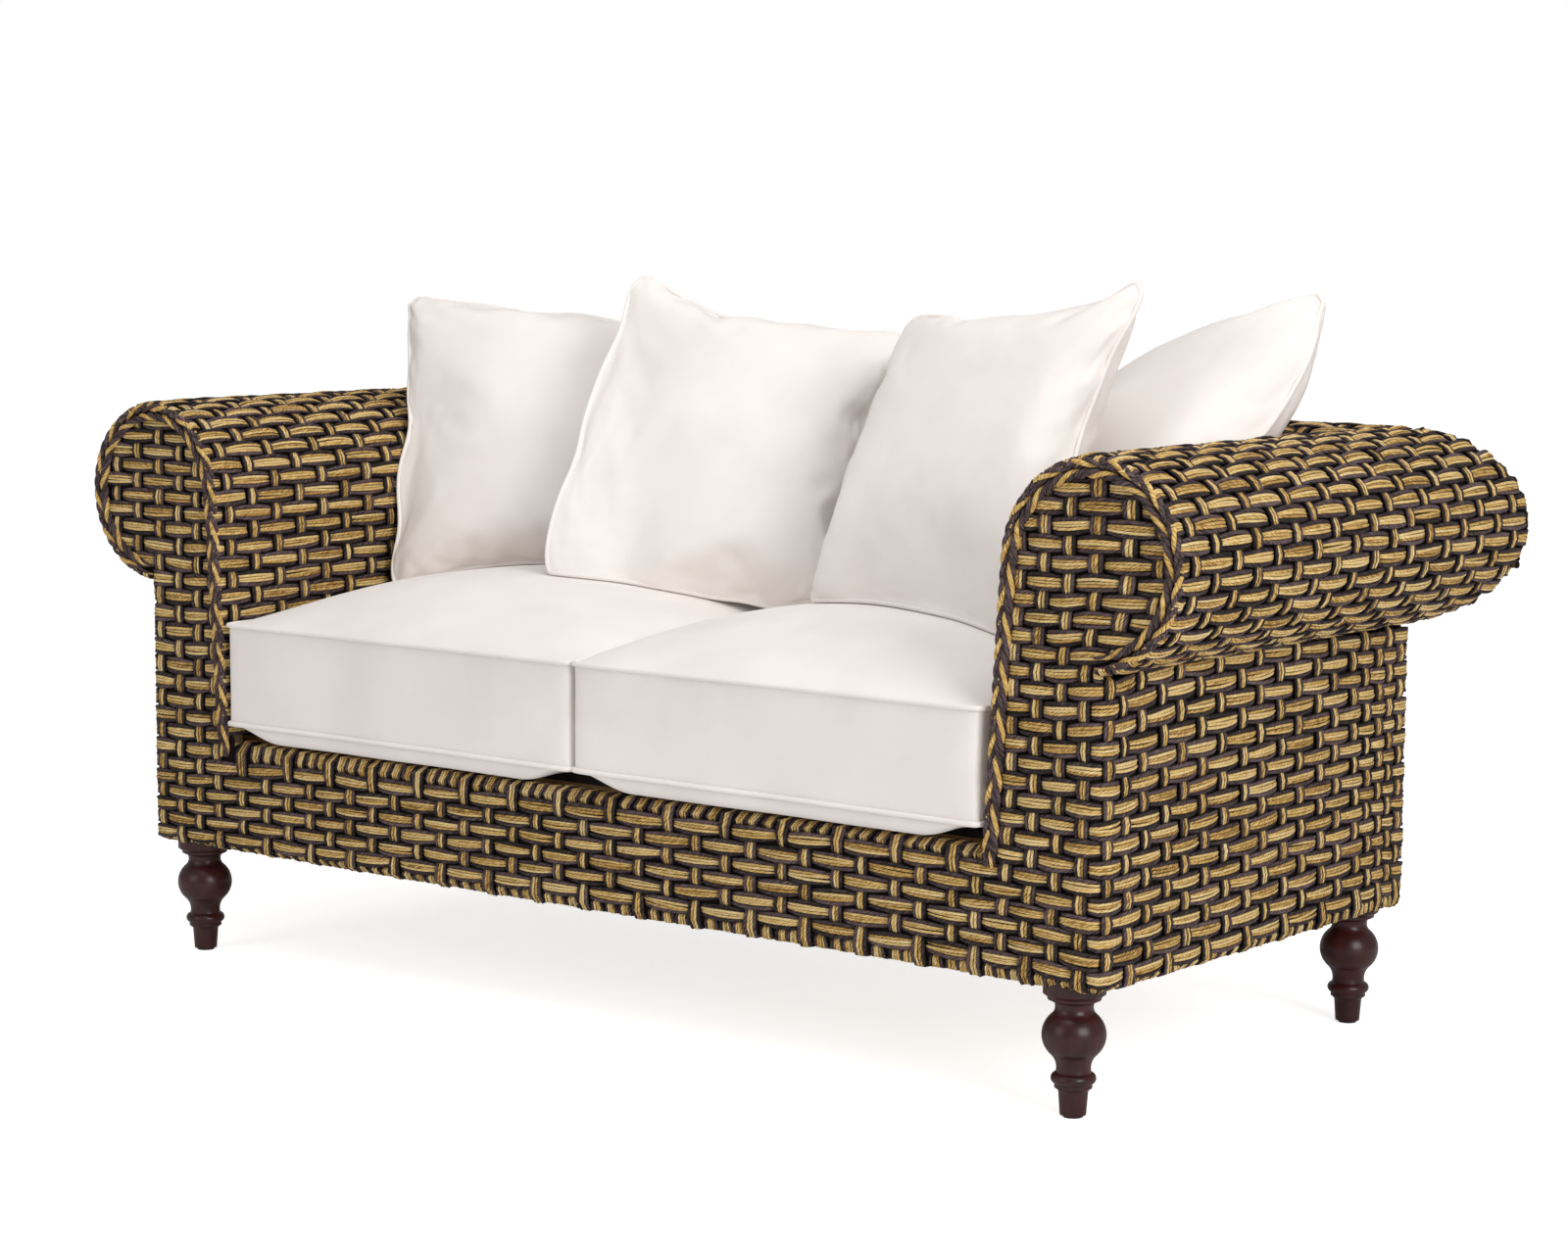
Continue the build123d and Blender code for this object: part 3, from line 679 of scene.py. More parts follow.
# The first column lies outside, so that the rows' first floats start under the trim rope
arm_columns = -438.0 + 46 * np.arange(20)
arm_spans = np.array([first_last(table, table_out >= c - back_inner) for c in arm_columns])
arm_spans[0] = 1.0, 0.0
back_columns = 23.5 + 47 * np.arange(-20, 21)
back_spans = np.array([first_last(table, table_out >= abs(c) - inner_half)
                       for c in back_columns])
print("rows of the section lie", round(scroll_pitch, 1), "mm apart")

# %% Skins of the arms
for side, word in sides:
    for skin, (foot, head) in skin_runs.items():
        name = f"arm_{skin}_skin_{word}"
        bundles = weave(
            on_arm(side), arm_columns, scroll_rows, np.full(scroll_count, arm_front),
            back_inner + row_out, arm_spans[:, 0], arm_spans[:, 1],
            lambda column, row: (row >= foot) & (row < head), scroll_pitch, first=1)
        run = np.linspace(foot, head, 60)
        end = back_inner + scroll_section(run, 0.0)[0]
        bundles.append(ground(on_arm(side), arm_ground_front, end, run, 30))
        finish_skin(name + "_weave", bundles, name)

# %% Skins of the back
back_parts = (("inner", "", -far, far), ("roll", "_left", -far, 0), ("roll", "_right", 0, far))
for skin, half, left, right in back_parts:
    foot, head = skin_runs[skin]
    name = f"back_{skin}_skin"
    bundles = weave(
        on_back, back_columns, scroll_rows, -inner_half - row_out, inner_half + row_out,
        back_spans[:, 0], back_spans[:, 1],
        lambda column, row: (row >= foot) & (row < head) & (column > left) & (column <= right),
        scroll_pitch)
    run = np.linspace(foot, head, 60)
    reach = inner_half + scroll_section(run, 0.0)[0]
    bundles.append(ground(on_back, np.maximum(-reach, left), np.minimum(reach, right), run, 30))
    finish_skin(name + "_weave" + half, bundles, name)

# %% [markdown]
# ## Base walls and arm fronts
# Rows run round the base in rings, over the rounded corners. Their columns stand closer on the
# arm fronts, where the weaver had less room. Their places are given one by one on the front and
# on the right side, and the hidden sides are guessed from those. Half of the columns bend over
# the top of the front rail and under the foot, and between them short wraps fill the edge.

# %% Columns and rows of the base
base_count = 16
base_rows = first_row + base_pitch * np.arange(base_count)
rail_rows = 6
# Columns, in mm from the middle of the front: the two halves of the rail, the arm fronts, a side
right_front = [12.5, 59, 108, 157, 204, 254, 295, 344, 382.5, 432, 470, 522, 560, 607.5, 643,
               683, 718, 755, 793]
left_front = [31, 71, 113, 157, 202, 245, 288, 333, 375, 419, 458, 498, 541, 585, 634,
              685, 722, 762, 801]
side_places = np.array([-358, -318, -272, -232, -187, -141, -91, -49, -1, 42, 92, 132, 180, 211,
                        241, 266, 292])
corner_column = marks[1] - 1.5
side_start = -(front_face + corner_radius)
side_columns = np.concatenate([[corner_column], marks[1] + side_places + side_start])
rear_columns = side_columns[-1] + 45.6 * np.arange(1, 19)
right_columns = np.concatenate([right_front, side_columns, rear_columns])
left_columns = np.concatenate([left_front, side_columns + 3, rear_columns])
base_columns = np.concatenate([-left_columns[::-1], right_columns])
base_index = np.arange(len(base_columns))
odd_columns = base_index % 2 == 1
rope_band = 15.0  # width that the trim ropes cover
print("columns round the base:", len(base_columns))


# %% Weave of a part of the base
def wall_line(height, inset):
    """Distance from the middle of the inner face at a height, drawn in by the inset."""
    return inner_half + (height - rail_top) / math.tan(lean) + inset / math.sin(lean)


def base_part(low, high, side, rail=False):
    """Cords of the base whose crossing lies between two distances from the middle, on one side.

    Above the rail each row starts where the trim ropes leave the leaning wall free.
    """
    start, stop = np.full(base_count, -far), np.full(base_count, far)
    if not rail:
        trial = np.linspace(645, 720, 400)
        for number in range(rail_rows, base_count):
            spot = on_base(side * trial, base_rows[number], 0.0)
            clear = np.abs(spot[:, 0]) >= wall_line(spot[:, 2], rope_band)
            edge = side * first_last(trial, clear)[0]
            (start if side > 0 else stop)[number] = edge
    rows = base_rows[:rail_rows] if rail else base_rows
    return weave(
        on_base, base_columns, rows, start[:len(rows)], stop[:len(rows)],
        np.full(len(base_columns), -far), np.full(len(base_columns), far),
        lambda column, row: (column * side > low) & (column * side <= high), base_pitch,
        bare=(0, rail_rows - 1) if rail else (0,))


# %% Wraps over an edge
wrap_band = np.array([-9.2, -4.3, 0.0, 4.3, 9.2])
wrap_wide = np.array([5.4, 4.8, 4.8, 4.8, 5.4])
# Column heights between which the wraps run, past the edge and on below or behind it
foot_long, foot_short = (136.0, 196.5), (136.0, 173.0)
crest_long, crest_short = (275.5, 352.0), (299.0, 350.0)


def wraps(span, places, offsets, slots, wides, top, drop, rings):
    """Cords that run over an edge, all between the same two column heights."""
    ends = np.full(len(places), span[0]), np.full(len(places), span[1])
    return lay_cords(on_base, True, np.full(len(places), sum(span) / 2), *ends, places, offsets,
                     slots, wides, top, drop, ends, rings)


def long_wraps(chosen, span):
    """Columns that run over an edge, from the last row that they show in."""
    return wraps(span, base_columns[chosen], column_band, column_slots, column_wide, 0.4, 4.6,
                 long_rings)


def short_wraps(chosen, span):
    """Three wraps between two long ones: each has three straw cords between umber ones."""
    middle = np.flatnonzero(chosen)
    left = (base_columns[middle] + base_columns[middle - 1]) / 2
    right = (base_columns[middle] + base_columns[(middle + 1) % len(base_columns)]) / 2
    places = np.concatenate([left, base_columns[middle], right])
    return wraps(span, places, wrap_band, row_slots, wrap_wide, -1.8, 4.0, short_rings)


def foot_wraps(low, high, side):
    """The wraps under the foot on one side of the base."""
    chosen = (base_columns * side > low) & (base_columns * side <= high)
    return [long_wraps(chosen & odd_columns, foot_long),
            short_wraps(chosen & ~odd_columns, foot_short)]


# %% Front rail
rail = []
for side, _ in sides:
    rail += base_part(0, inner_half, side, rail=True) + foot_wraps(0, inner_half, side)
on_rail = np.abs(base_columns) < inner_half
rail.append(long_wraps(on_rail & ~odd_columns, crest_long))
rail.append(short_wraps(on_rail & odd_columns, crest_short))
rail_ground_half = 655.0
rail.append(ground(on_base, -rail_ground_half, rail_ground_half, np.linspace(140, 345, 40), 90))
finish_skin("front_rail_weave", rail, "front_rail_skin")

# %% [markdown]
# ## Scroll fronts
# On the front of each arm the rows of the base go on upwards, into the flat end of the scroll.
# The cords stop under the trim ropes, so each row and column is cut where the outline, drawn in
# by the width of the ropes, crosses it. That place is found by trying many points of the line.

# %% Outline of a scroll front
scroll_rows_up = first_row + base_pitch * np.arange(base_count, 27)
scroll_columns = {1: np.array([683.0, 718, 755, 793, 830, 870]),
                  -1: np.array([685.0, 722, 762, 801, 845, 890])}
throat = 160  # below the scroll's middle the outline ends this far out
row_trial = np.linspace(650, 940, 1200)
column_trial = np.linspace(480, 800, 1200)


def in_scroll(spot, inset):
    """Inside the scroll's outline, drawn in by the inset: its circle, or the wall below it."""
    x, z = np.abs(spot[:, 0]), spot[:, 2]
    out = x - inner_half
    circle = (out - roll_out) ** 2 + (z - roll_height) ** 2 <= (roll_radius - inset) ** 2
    below = (z < roll_height) & (out <= throat)
    return (circle | below) & (x >= wall_line(z, inset))


def facing_ground(side):
    """The flat sheet behind an arm front: from wall or circle on one side to the other."""
    inset = 8.0
    z = np.linspace(foot_level + 3, 782, 60)[None, :]
    left = np.where(z < rail_top, inner_half, wall_line(z, inset))
    circle = np.sqrt(np.clip((roll_radius - inset) ** 2 - (z - roll_height) ** 2, 0, None))
    left = np.where(z > roll_height, inner_half + roll_out - circle, left)
    right = np.where(z < wall_top, outer_half - 2 * inset, inner_half + roll_out + circle)
    x = left + (right - left) * np.linspace(0, 1, 40)[:, None]
    outer, inner = (np.stack(np.broadcast_arrays(side * x, front_face - level, z), -1)
                    for level in ground_levels)
    return slab(outer, inner, ground_slot)


# %% Arm fronts and side walls
front_end, side_end = 810, 1545
wall_foot, wall_head = 140, 516
for side, word in sides:
    facing = on_scroll_front(side)
    row_spans = np.array([first_last(row_trial, in_scroll(facing(row_trial, z, 0.0), rope_band))
                          for z in scroll_rows_up])
    column_spans = np.array([
        first_last(column_trial, in_scroll(facing(x, column_trial, 0.0), rope_band))
        for x in scroll_columns[side]])
    bundles = base_part(inner_half, front_end, side) + foot_wraps(inner_half, front_end, side)
    bundles += weave(
        facing, scroll_columns[side], scroll_rows_up, row_spans[:, 0], row_spans[:, 1],
        column_spans[:, 0], column_spans[:, 1], lambda column, row: column > 0, base_pitch,
        first=1 if side < 0 else 0)
    bundles.append(facing_ground(side))
    finish_skin(f"arm_facing_{word}_weave", bundles, f"arm_facing_{word}")
    bundles = base_part(front_end, side_end, side) + foot_wraps(front_end, side_end, side)
    bundles.append(ground(on_base, side * 803.0, side * 1560.0,
                          np.linspace(wall_foot, wall_head, 40), 160))
    finish_skin(f"side_skin_{word}_weave", bundles, f"side_skin_{word}")

# %% [markdown]
# ## Rear wall
# It carries on the rows of the side walls to the middle of the rear. It is made in two halves,
# so that neither piece has more faces than its file may hold.

# %% Two halves of the rear wall
for side, word in sides:
    bundles = base_part(side_end, 3000, side) + foot_wraps(side_end, 3000, side)
    bundles.append(ground(on_base, side * 1558.0, side * half_loop,
                          np.linspace(wall_foot, wall_head + 10, 40), 60))
    finish_skin(f"back_outer_skin_weave_{word}", bundles, "back_outer_skin")

# %% [markdown]
# ## Trim ropes
# Round each arm front lie two ropes of three strands, laid with opposite twist, so that
# together they look like a flat braid. One strand of each is straw, the others are umber. A
# braid texture would show no strands on the outline, so each strand is a tube on a helix.

# %% Trim ropes
rope_pitch = 58.0   # length of one turn of the rope
rope_spread = 3.1   # distance of the strands from the rope's middle
strand = 3.3        # radius of a strand
strand_turns = np.radians(45 * np.arange(8))
rope_start, rope_points = -28, 320
head_taper, foot_taper = 45, 50  # lengths over which the rope thins out at its ends
# Insets of each rope from the outline, along the wall and along the scroll, and its twist
ropes = ((5.5, 7.0, 1), (14.0, 19.5, -1))
for side, word in sides:
    bundles = []
    for wall_inset, scroll_inset, hand in ropes:
        run = np.linspace(rope_start, section_run, rope_points)
        inset = np.interp(run, (wall_run - 60, wall_run + 60), (wall_inset, scroll_inset))[:, None]
        end = np.clip((section_run - run) / head_taper, 0.12, 1) * np.clip(
            (run + foot_taper) / foot_taper, 0.4, 1)
        size = (strand * (0.35 + 0.65 * end))[:, None]
        for number, colour in enumerate((straw, umber, umber)):
            turn = hand * 2 * math.pi * run / rope_pitch + number * 2 * math.pi / 3 + hand
            lift = (rope_spread * end * np.cos(turn))[:, None] + size * np.cos(strand_turns)
            ahead = (rope_spread * end * np.sin(turn))[:, None] + size * np.sin(strand_turns)
            out, up = scroll_section(run[:, None] + 0 * lift, lift - inset)
            points = np.stack([side * (inner_half + out), front_face - 3.5 - ahead, up], -1)
            bundles.append(tubes(points[None], run[None] * mm + number, np.array([colour]),
                                 np.array([0.35 + 0.2 * number])))
    finish_skin(f"arm_trim_rope_{word}_braid", bundles, f"arm_trim_rope_{word}",
                [straw_rope, umber_rope])

# %% [markdown]
# ## Wood, board and fixings
# The legs are turned hardwood under a dark stain and a satin lacquer. What lies inside the
# woven skins is plain: sawn softwood, plywood, zinc plated steel and moulded nylon. Their
# shapes come from the solid model, so all they need is a material.


# %% Hard materials
def plain_material(name, colours, scale, stretch, roughness, bump, metal=0.0, ior=1.5):
    """Colour by noise stretched along one axis, as grain, with a light bump from the same."""
    material, tree, out = start_material(name)
    place = add_node(tree, "ShaderNodeTexCoord")
    turned = add_node(tree, "ShaderNodeMapping", values={"Scale": stretch},
                      links={"Vector": place.outputs["Object"]})
    noise = add_node(tree, "ShaderNodeTexNoise",
                     values={"Scale": scale, "Detail": 6.0, "Roughness": 0.6},
                     links={"Vector": turned.outputs[0]})
    colour = add_node(tree, "ShaderNodeValToRGB", links={"Fac": noise.outputs["Fac"]},
                      stops=list(zip((0.3, 0.7), colours)))
    relief = add_node(tree, "ShaderNodeBump", values={"Strength": bump, "Distance": 0.6 * mm},
                      links={"Height": noise.outputs["Fac"]})
    values = {"Roughness": roughness, "Metallic": metal}
    if not metal:
        values["IOR"] = ior
    skin = add_node(tree, "ShaderNodeBsdfPrincipled", values=values,
                    links={"Base Color": colour.outputs["Color"], "Normal": relief.outputs[0]})
    tree.links.new(skin.outputs[0], out.inputs["Surface"])
    return material


# Stain under satin lacquer: nearly even dark red brown, with soft highlights on the beads
stained_wood = plain_material("mahogany_stained_lacquered", ("#260D0D", "#421B1B"), 9.0,
                              (6.0, 6.0, 1.0), 0.33, 0.06, ior=1.42)
# Raw wood: pale and matt, with streaks of grain about 10 mm wide and 50 to 70 mm long
softwood = plain_material("pine_sawn", ("#B08B5E", "#CDAE80"), 14.0, (1.0, 6.0, 6.0), 0.8, 0.4)
plywood = plain_material("birch_plywood", ("#B9976A", "#D2B68A"), 20.0, (1.0, 6.0, 6.0), 0.75,
                         0.3)
# Near black board: its colour is painted shade for the dark line between the cushions and the
# front rail
deck_board = plain_material("fibreboard_near_black_shade", ("#141213", "#1E1B1C"), 60.0,
                            (1.0, 1.0, 1.0), 0.7, 0.3)
# Plated steel shines softly, moulded nylon is black with a dull gloss
zinc = plain_material("steel_zinc_plated", ("#8E9094", "#B9BBBF"), 120.0, (1.0, 1.0, 1.0), 0.38,
                      0.1, metal=1.0)
nylon = plain_material("nylon_moulded_black", ("#0E0E0F", "#191919"), 90.0, (1.0, 1.0, 1.0),
                       0.5, 0.1, ior=1.53)
wear = {"leg_front": stained_wood, "leg_rear": stained_wood, "leg_bolts": zinc,
        "leg_plates": zinc, "leg_glides": nylon, "seat_deck": deck_board,
        "seat_slats": softwood, "base_rail": softwood, "centre_rail": softwood,
        "corner_blocks": softwood, "deck_ledgers": softwood, "formers": plywood, "pole": softwood}
dressed = 0
for name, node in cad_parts.items():
    for word, material in wear.items():
        if word in name:
            node.data.materials.clear()
            node.data.materials.append(material)
            dressed += 1
print(dressed, "carried-over nodes have their materials")

# %% [markdown]
# ## Cushion cloth
# Off-white cotton duck: a plain weave of thick yarns, washed and slightly uneven, without gloss.
# It could be drawn yarn by yarn, but real yarns lie 0.6 mm apart, too fine for the picture. So
# a relief of 2.4 mm stands for them, and wide soft noise for the wash. The eye gets a matt,
# warm white.

# %% Cloth material
wash_scale = 9.0    # patches in a metre, so each is 110 mm wide
yarn_scale = 420.0  # bumps in a metre, so each is 2.4 mm wide


def cloth_material():
    """Wide soft noise for the colour, fine noise for the bump, a little sheen for the fuzz."""
    material, tree, out = start_material("cotton_duck_off_white")
    place = add_node(tree, "ShaderNodeTexCoord")
    wide = add_node(tree, "ShaderNodeTexNoise", values={"Scale": wash_scale, "Detail": 3.0},
                    links={"Vector": place.outputs["Object"]})
    fine = add_node(tree, "ShaderNodeTexNoise", values={"Scale": yarn_scale, "Detail": 2.0},
                    links={"Vector": place.outputs["Object"]})
    colour = add_node(tree, "ShaderNodeValToRGB", links={"Fac": wide.outputs["Fac"]},
                      stops=[(0.3, "#E9E1DD"), (0.7, "#F0EAE5")])
    bump = add_node(tree, "ShaderNodeBump", values={"Strength": 0.12, "Distance": 0.6 * mm},
                    links={"Height": fine.outputs["Fac"]})
    skin = add_node(tree, "ShaderNodeBsdfPrincipled", values={
        "Roughness": 0.9, "IOR": 1.45, "Specular IOR Level": 0.2, "Sheen Weight": 0.15,
        "Sheen Roughness": 0.5},
        links={"Base Color": colour.outputs["Color"], "Normal": bump.outputs[0]})
    tree.links.new(skin.outputs[0], out.inputs["Surface"])
    return material


cloth = cloth_material()
print("cloth:", cloth.name)

# %% [markdown]
# ## Blowing up sewn cloth
# A pillow is cut flat, sewn and filled, and its folds come from cloth that has nowhere to go.
# A formula would leave it as smooth as a pebble. So the cut shape is kept as the rest shape of
# a cloth simulation, and a light pressure fills it. The seam keeps its row of points, which the
# welt then follows.

# %% Cloth simulation
cloth_frames, stiffness, bending = 22, 12.0, 0.35


def fill_cloth(start, cut, faces, pressure, held):
    """Points of a closed cloth after it is filled; the held points stay where they are."""
    mesh = bpy.data.meshes.new("filling")
    mesh.from_pydata((start * mm).tolist(), [], faces.tolist())
    body = bpy.data.objects.new("filling", mesh)
    bpy.context.scene.collection.objects.link(body)
    body.shape_key_add(name="Basis")
    key = body.shape_key_add(name="cut")
    key.data.foreach_set("co", (cut * mm).astype(np.float32).ravel())
    modifier = body.modifiers.new("cloth", "CLOTH")
    settings = modifier.settings
    group = body.vertex_groups.new(name="held")
    group.add(np.flatnonzero(held).tolist(), 1.0, "REPLACE")
    settings.vertex_group_mass = "held"
    settings.rest_shape_key = key
    settings.use_pressure = True
    settings.uniform_pressure_force = pressure
    settings.effector_weights.gravity = 0
    settings.mass = 0.25
    settings.tension_stiffness = settings.compression_stiffness = stiffness
    settings.shear_stiffness = stiffness / 2
    settings.bending_stiffness = bending
    settings.air_damping = 1.0
    settings.quality = 6
    modifier.collision_settings.use_collision = False
    modifier.point_cache.frame_start, modifier.point_cache.frame_end = 1, cloth_frames
    scene = bpy.context.scene
    scene.frame_start, scene.frame_end = 1, cloth_frames
    for number in range(1, cloth_frames + 1):
        scene.frame_set(number)
    shown = body.evaluated_get(bpy.context.evaluated_depsgraph_get())
    points = np.zeros(len(shown.data.vertices) * 3, np.float32)
    shown.data.vertices.foreach_get("co", points)
    scene.frame_set(1)
    bpy.data.objects.remove(body)
    bpy.data.meshes.remove(mesh)
    return points.reshape(-1, 3).astype(float) / mm


# %% Finished cloth
def cloth_piece(name, points, faces, body, replaced):
    """A padded piece of cloth with one live subdivision; it rides and stands for its solid."""
    mesh = bpy.data.meshes.new(name)
    mesh.from_pydata((points * mm).tolist(), [], faces.tolist())
    mesh.shade_smooth()
    mesh.materials.append(cloth)
    piece = bpy.data.objects.new(name, mesh)
    bpy.context.scene.collection.objects.link(piece)
    finer = piece.modifiers.new("finer", "SUBSURF")
    finer.levels = finer.render_levels = 1
    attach(piece, body)
    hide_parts(replaced)
    return piece


# %% [markdown]
# ## Welts
# A welt is a cord in a strip of the same cloth, sewn into the seam. It shows as a fine line of
# light along every edge. A bevelled curve would do, but the tube maker is at hand: a ring of
# eight points is carried along the seam, square to its direction.


# %% Welts on closed seam lines
def smooth_ring(line, rounds):
    """A closed line, each point moved to (before + 2 * itself + after) / 4 in every round."""
    for _ in range(rounds):
        line = (np.roll(line, 1, 0) + 2 * line + np.roll(line, -1, 0)) / 4
    return line


def welt(name, lines, radius, body):
    """Piping: a round tube on each closed seam line, square to the line's own direction."""
    bundles = []
    for line in lines:
        ahead = np.roll(line, -1, 0) - np.roll(line, 1, 0)
        ahead /= np.linalg.norm(ahead, axis=1)[:, None]
        out = line - line.mean(0)
        side = np.cross(ahead, out)
        side /= np.linalg.norm(side, axis=1)[:, None]
        up = np.cross(side, ahead)
        turn = np.radians(45 * np.arange(8))
        ring = (side[:, None] * np.cos(turn)[:, None] + up[:, None] * np.sin(turn)[:, None])
        points = line[:, None] + radius * ring
        steps = np.linalg.norm(np.roll(line, -1, 0) - line, axis=1)
        along = np.concatenate([[0], np.cumsum(steps)[:-1]]) * mm
        bundles.append(tubes(points[None], along[None], np.array([0]), np.array([0.5]), True))
    piece = make_piece(name, bundles, [cloth])
    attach(piece, body)
    return piece


# %% [markdown]
# ## The seat's top as a function
# The pillows lie on the seat, so its height has to be known before they are let down. The same
# function later shapes the seat cushions. A foam cushion with a soft wrap stands up steeply at
# its sides and falls slowly to the front, and the two cushions press each other up in between.

# %% Height of the seat
low_seam, high_seam, crown = 348.0, 488.0, 76.0
seat_middle, seat_half, seat_rear_y, seat_front_y = 326.9, 326.6, 152.0, -427.5
seat_centre_y = (seat_front_y + seat_rear_y) / 2
seat_depth = seat_rear_y - seat_front_y
press_lift = 15.0  # the two cushions press each other up in the middle
off_seat = 300     # height given outside the cushions, far below them


def crown_share(a, b):
    """(1 - a^2) ** 0.58 * end ** 0.85; end is 1 - b^4 behind the middle, 1 - b^2 before it."""
    end = np.where(b > 0, 1 - b ** 4, 1 - b ** 2)
    return np.clip(1 - a ** 2, 0, 1) ** 0.58 * np.clip(end, 0, 1) ** 0.85


def inner_lift(a, b):
    """Lift of the shared edge: press_lift * (-a) ** 4 * end, with the same end as the crown."""
    return press_lift * np.clip(-a, 0, 1) ** 4 * np.clip(1 - np.where(b > 0, b ** 4, b ** 2), 0, 1)


def seat_top(x, y):
    """Height of the seat at a place; far below it outside the cushions."""
    a = np.clip((np.abs(x) - seat_middle) / seat_half, -1, None)
    b = (y - seat_centre_y) / (seat_depth / 2)
    on_seat = (a < 1) & (np.abs(b) < 1)
    return np.where(on_seat, high_seam + crown * crown_share(a, b) + inner_lift(a, b), off_seat)


print("the seat rises", round(float(seat_top(seat_middle, seat_centre_y)) - high_seam),
      "mm above its seam")

# %% [markdown]
# ## Pillows
# A knife-edge pillow is two squares of cloth sewn together, with a thin welt in the seam. It is
# cut flat, filled, set in its place and then let down, so that its lower seam lies on the seat.
# Each leans on its neighbours or on the back, which drags its corners, and a few points of the
# seam are held while it fills, from which the folds of the photograph start.

# %% Places, folds and corners of the pillows
pillow_cut, pillow_count = 456.0, 45
pillow_pressure, pillow_welt = 1.05, 3.2
# Middle of each pillow, and its turn, lean and roll in degrees
pillow_places = {
    "pillow_rear_left": ((-484.87, 69.43, 752.95), (25, 24.5, 2.5)),
    "pillow_front_left": ((-103.15, 40.36, 751.02), (25.5, 33.3, -8.9)),
    "pillow_rear_right": ((465.16, 89.38, 746.14), (-20.6, 40, 10.2)),
    "pillow_front_right": ((379.75, -63.38, 769.80), (-12.6, 28.6, 4.8)),
}
# Where folds start: place on the pillow from -1 to 1, pull across and up, reach
pillow_pinches = {
    "pillow_rear_left": ((-1, 0.02, 20, 0, 0.12), (-1, -0.62, 12, 0, 0.14)),
    "pillow_front_left": ((-0.45, -1, 0, 20, 0.12), (-1, 0.62, 11, 0, 0.12),
                          (-1, -0.3, 10, 0, 0.14)),
    "pillow_rear_right": ((-1, 0.3, 9, 0, 0.12),),
    "pillow_front_right": ((-0.45, -1, 0, 11, 0.1), (0.35, -1, 0, 12, 0.1)),
}
# How a pillow leans on its neighbours: place on the pillow, reach, drag in x, y and z
pillow_slumps = {
    "pillow_rear_left": ((1, 1, 0.9, (0, 12, -42)), (-1, 1, 0.35, (-17, -9, 4))),
    "pillow_front_left": ((-1, 1, 0.35, (4, 0, 22)),),
    "pillow_rear_right": ((1, 1, 1.0, (48, 38, 38)), (1, 0.15, 0.75, (52, 40, 0)),
                          (-1, 1, 1.0, (48, 26, -70))),
    "pillow_front_right": ((1, 1, 0.4, (14, 4, 26)),),
}
print(len(pillow_places), "pillows, cut", pillow_cut, "mm square")


# %% Walls beside the pillows, and how a pillow is turned
def wall_out(z):
    """How far the inner wall of arms and back stands out at a height; free above the scroll."""
    below = (z - rail_top) / math.tan(lean)
    round_wall = roll_out - np.sqrt(np.clip(roll_radius ** 2 - (z - roll_height) ** 2, 0, None))
    wall = np.where(z < roll_height - roll_radius * math.cos(lean), below, round_wall)
    return np.where(z < roll_height + roll_radius, wall, 400)


def turned_frame(turns):
    """Axes of a pillow: turned about the upright, leaned back, then rolled on its own face."""
    yaw, tilt, roll = np.radians(turns)
    upright = np.array([[1, 0, 0], [0, 0, -1], [0, 1, 0]], float)
    about_y = np.array([[np.cos(yaw), 0, np.sin(yaw)], [0, 1, 0], [-np.sin(yaw), 0, np.cos(yaw)]])
    about_x = np.array([[1, 0, 0], [0, np.cos(tilt), np.sin(tilt)],
                        [0, -np.sin(tilt), np.cos(tilt)]])
    about_z = np.array([[np.cos(roll), -np.sin(roll), 0], [np.sin(roll), np.cos(roll), 0],
                        [0, 0, 1]])
    return upright @ about_y @ about_x @ about_z


# %% Two squares of cloth
def square_grid(count, turn, corner_draw, reach):
    """Places from -1 to 1 on a square, denser at its edges by a sine, and its drawn-in corners.

    The corners are drawn in by corner_draw * exp(-(distance from both edges) / reach).
    """
    line = np.sin(np.linspace(-1, 1, count) * turn) / math.sin(turn)
    a, b = np.meshgrid(line, line, indexing="ij")
    return line, a, b, corner_draw * np.exp(-((1 - np.abs(a)) + (1 - np.abs(b))) / reach)


def pillow_cloth():
    """Two square sheets that share their rim: inner points, rim order and outward faces."""
    count = pillow_count
    index = np.arange(count * count).reshape(count, count)
    inner = np.zeros((count, count), bool)
    inner[1:-1, 1:-1] = True
    rear = index.copy()
    rear[inner] = count * count + np.arange(inner.sum())
    front_faces = np.stack([index[:-1, :-1], index[1:, :-1], index[1:, 1:], index[:-1, 1:]], -1)
    rear_faces = np.stack([rear[:-1, :-1], rear[:-1, 1:], rear[1:, 1:], rear[1:, :-1]], -1)
    faces = np.concatenate([front_faces.reshape(-1, 4), rear_faces.reshape(-1, 4)])
    return inner, rim_of(index), faces


inner, rim, pillow_faces = pillow_cloth()
line, a, b, corner = square_grid(pillow_count, 1.45, 15.0, 0.09)
cut_x = pillow_cut / 2 * a - np.sign(a) * corner
cut_y = pillow_cut / 2 * b - np.sign(b) * corner
both_a, both_b = (np.concatenate([v.ravel(), v[inner]]) for v in (a, b))
on_rim = np.maximum(np.abs(both_a), np.abs(both_b)) > 0.999
print("a pillow has", len(pillow_faces), "faces before it is subdivided")


# %% Fill a pillow
def nearness(at, up, reach):
    """How near each point of a pillow is to a place on it: exp(-(distance / reach) ** 2)."""
    return np.exp(-((both_a - at) ** 2 + (both_b - up) ** 2) / reach ** 2)


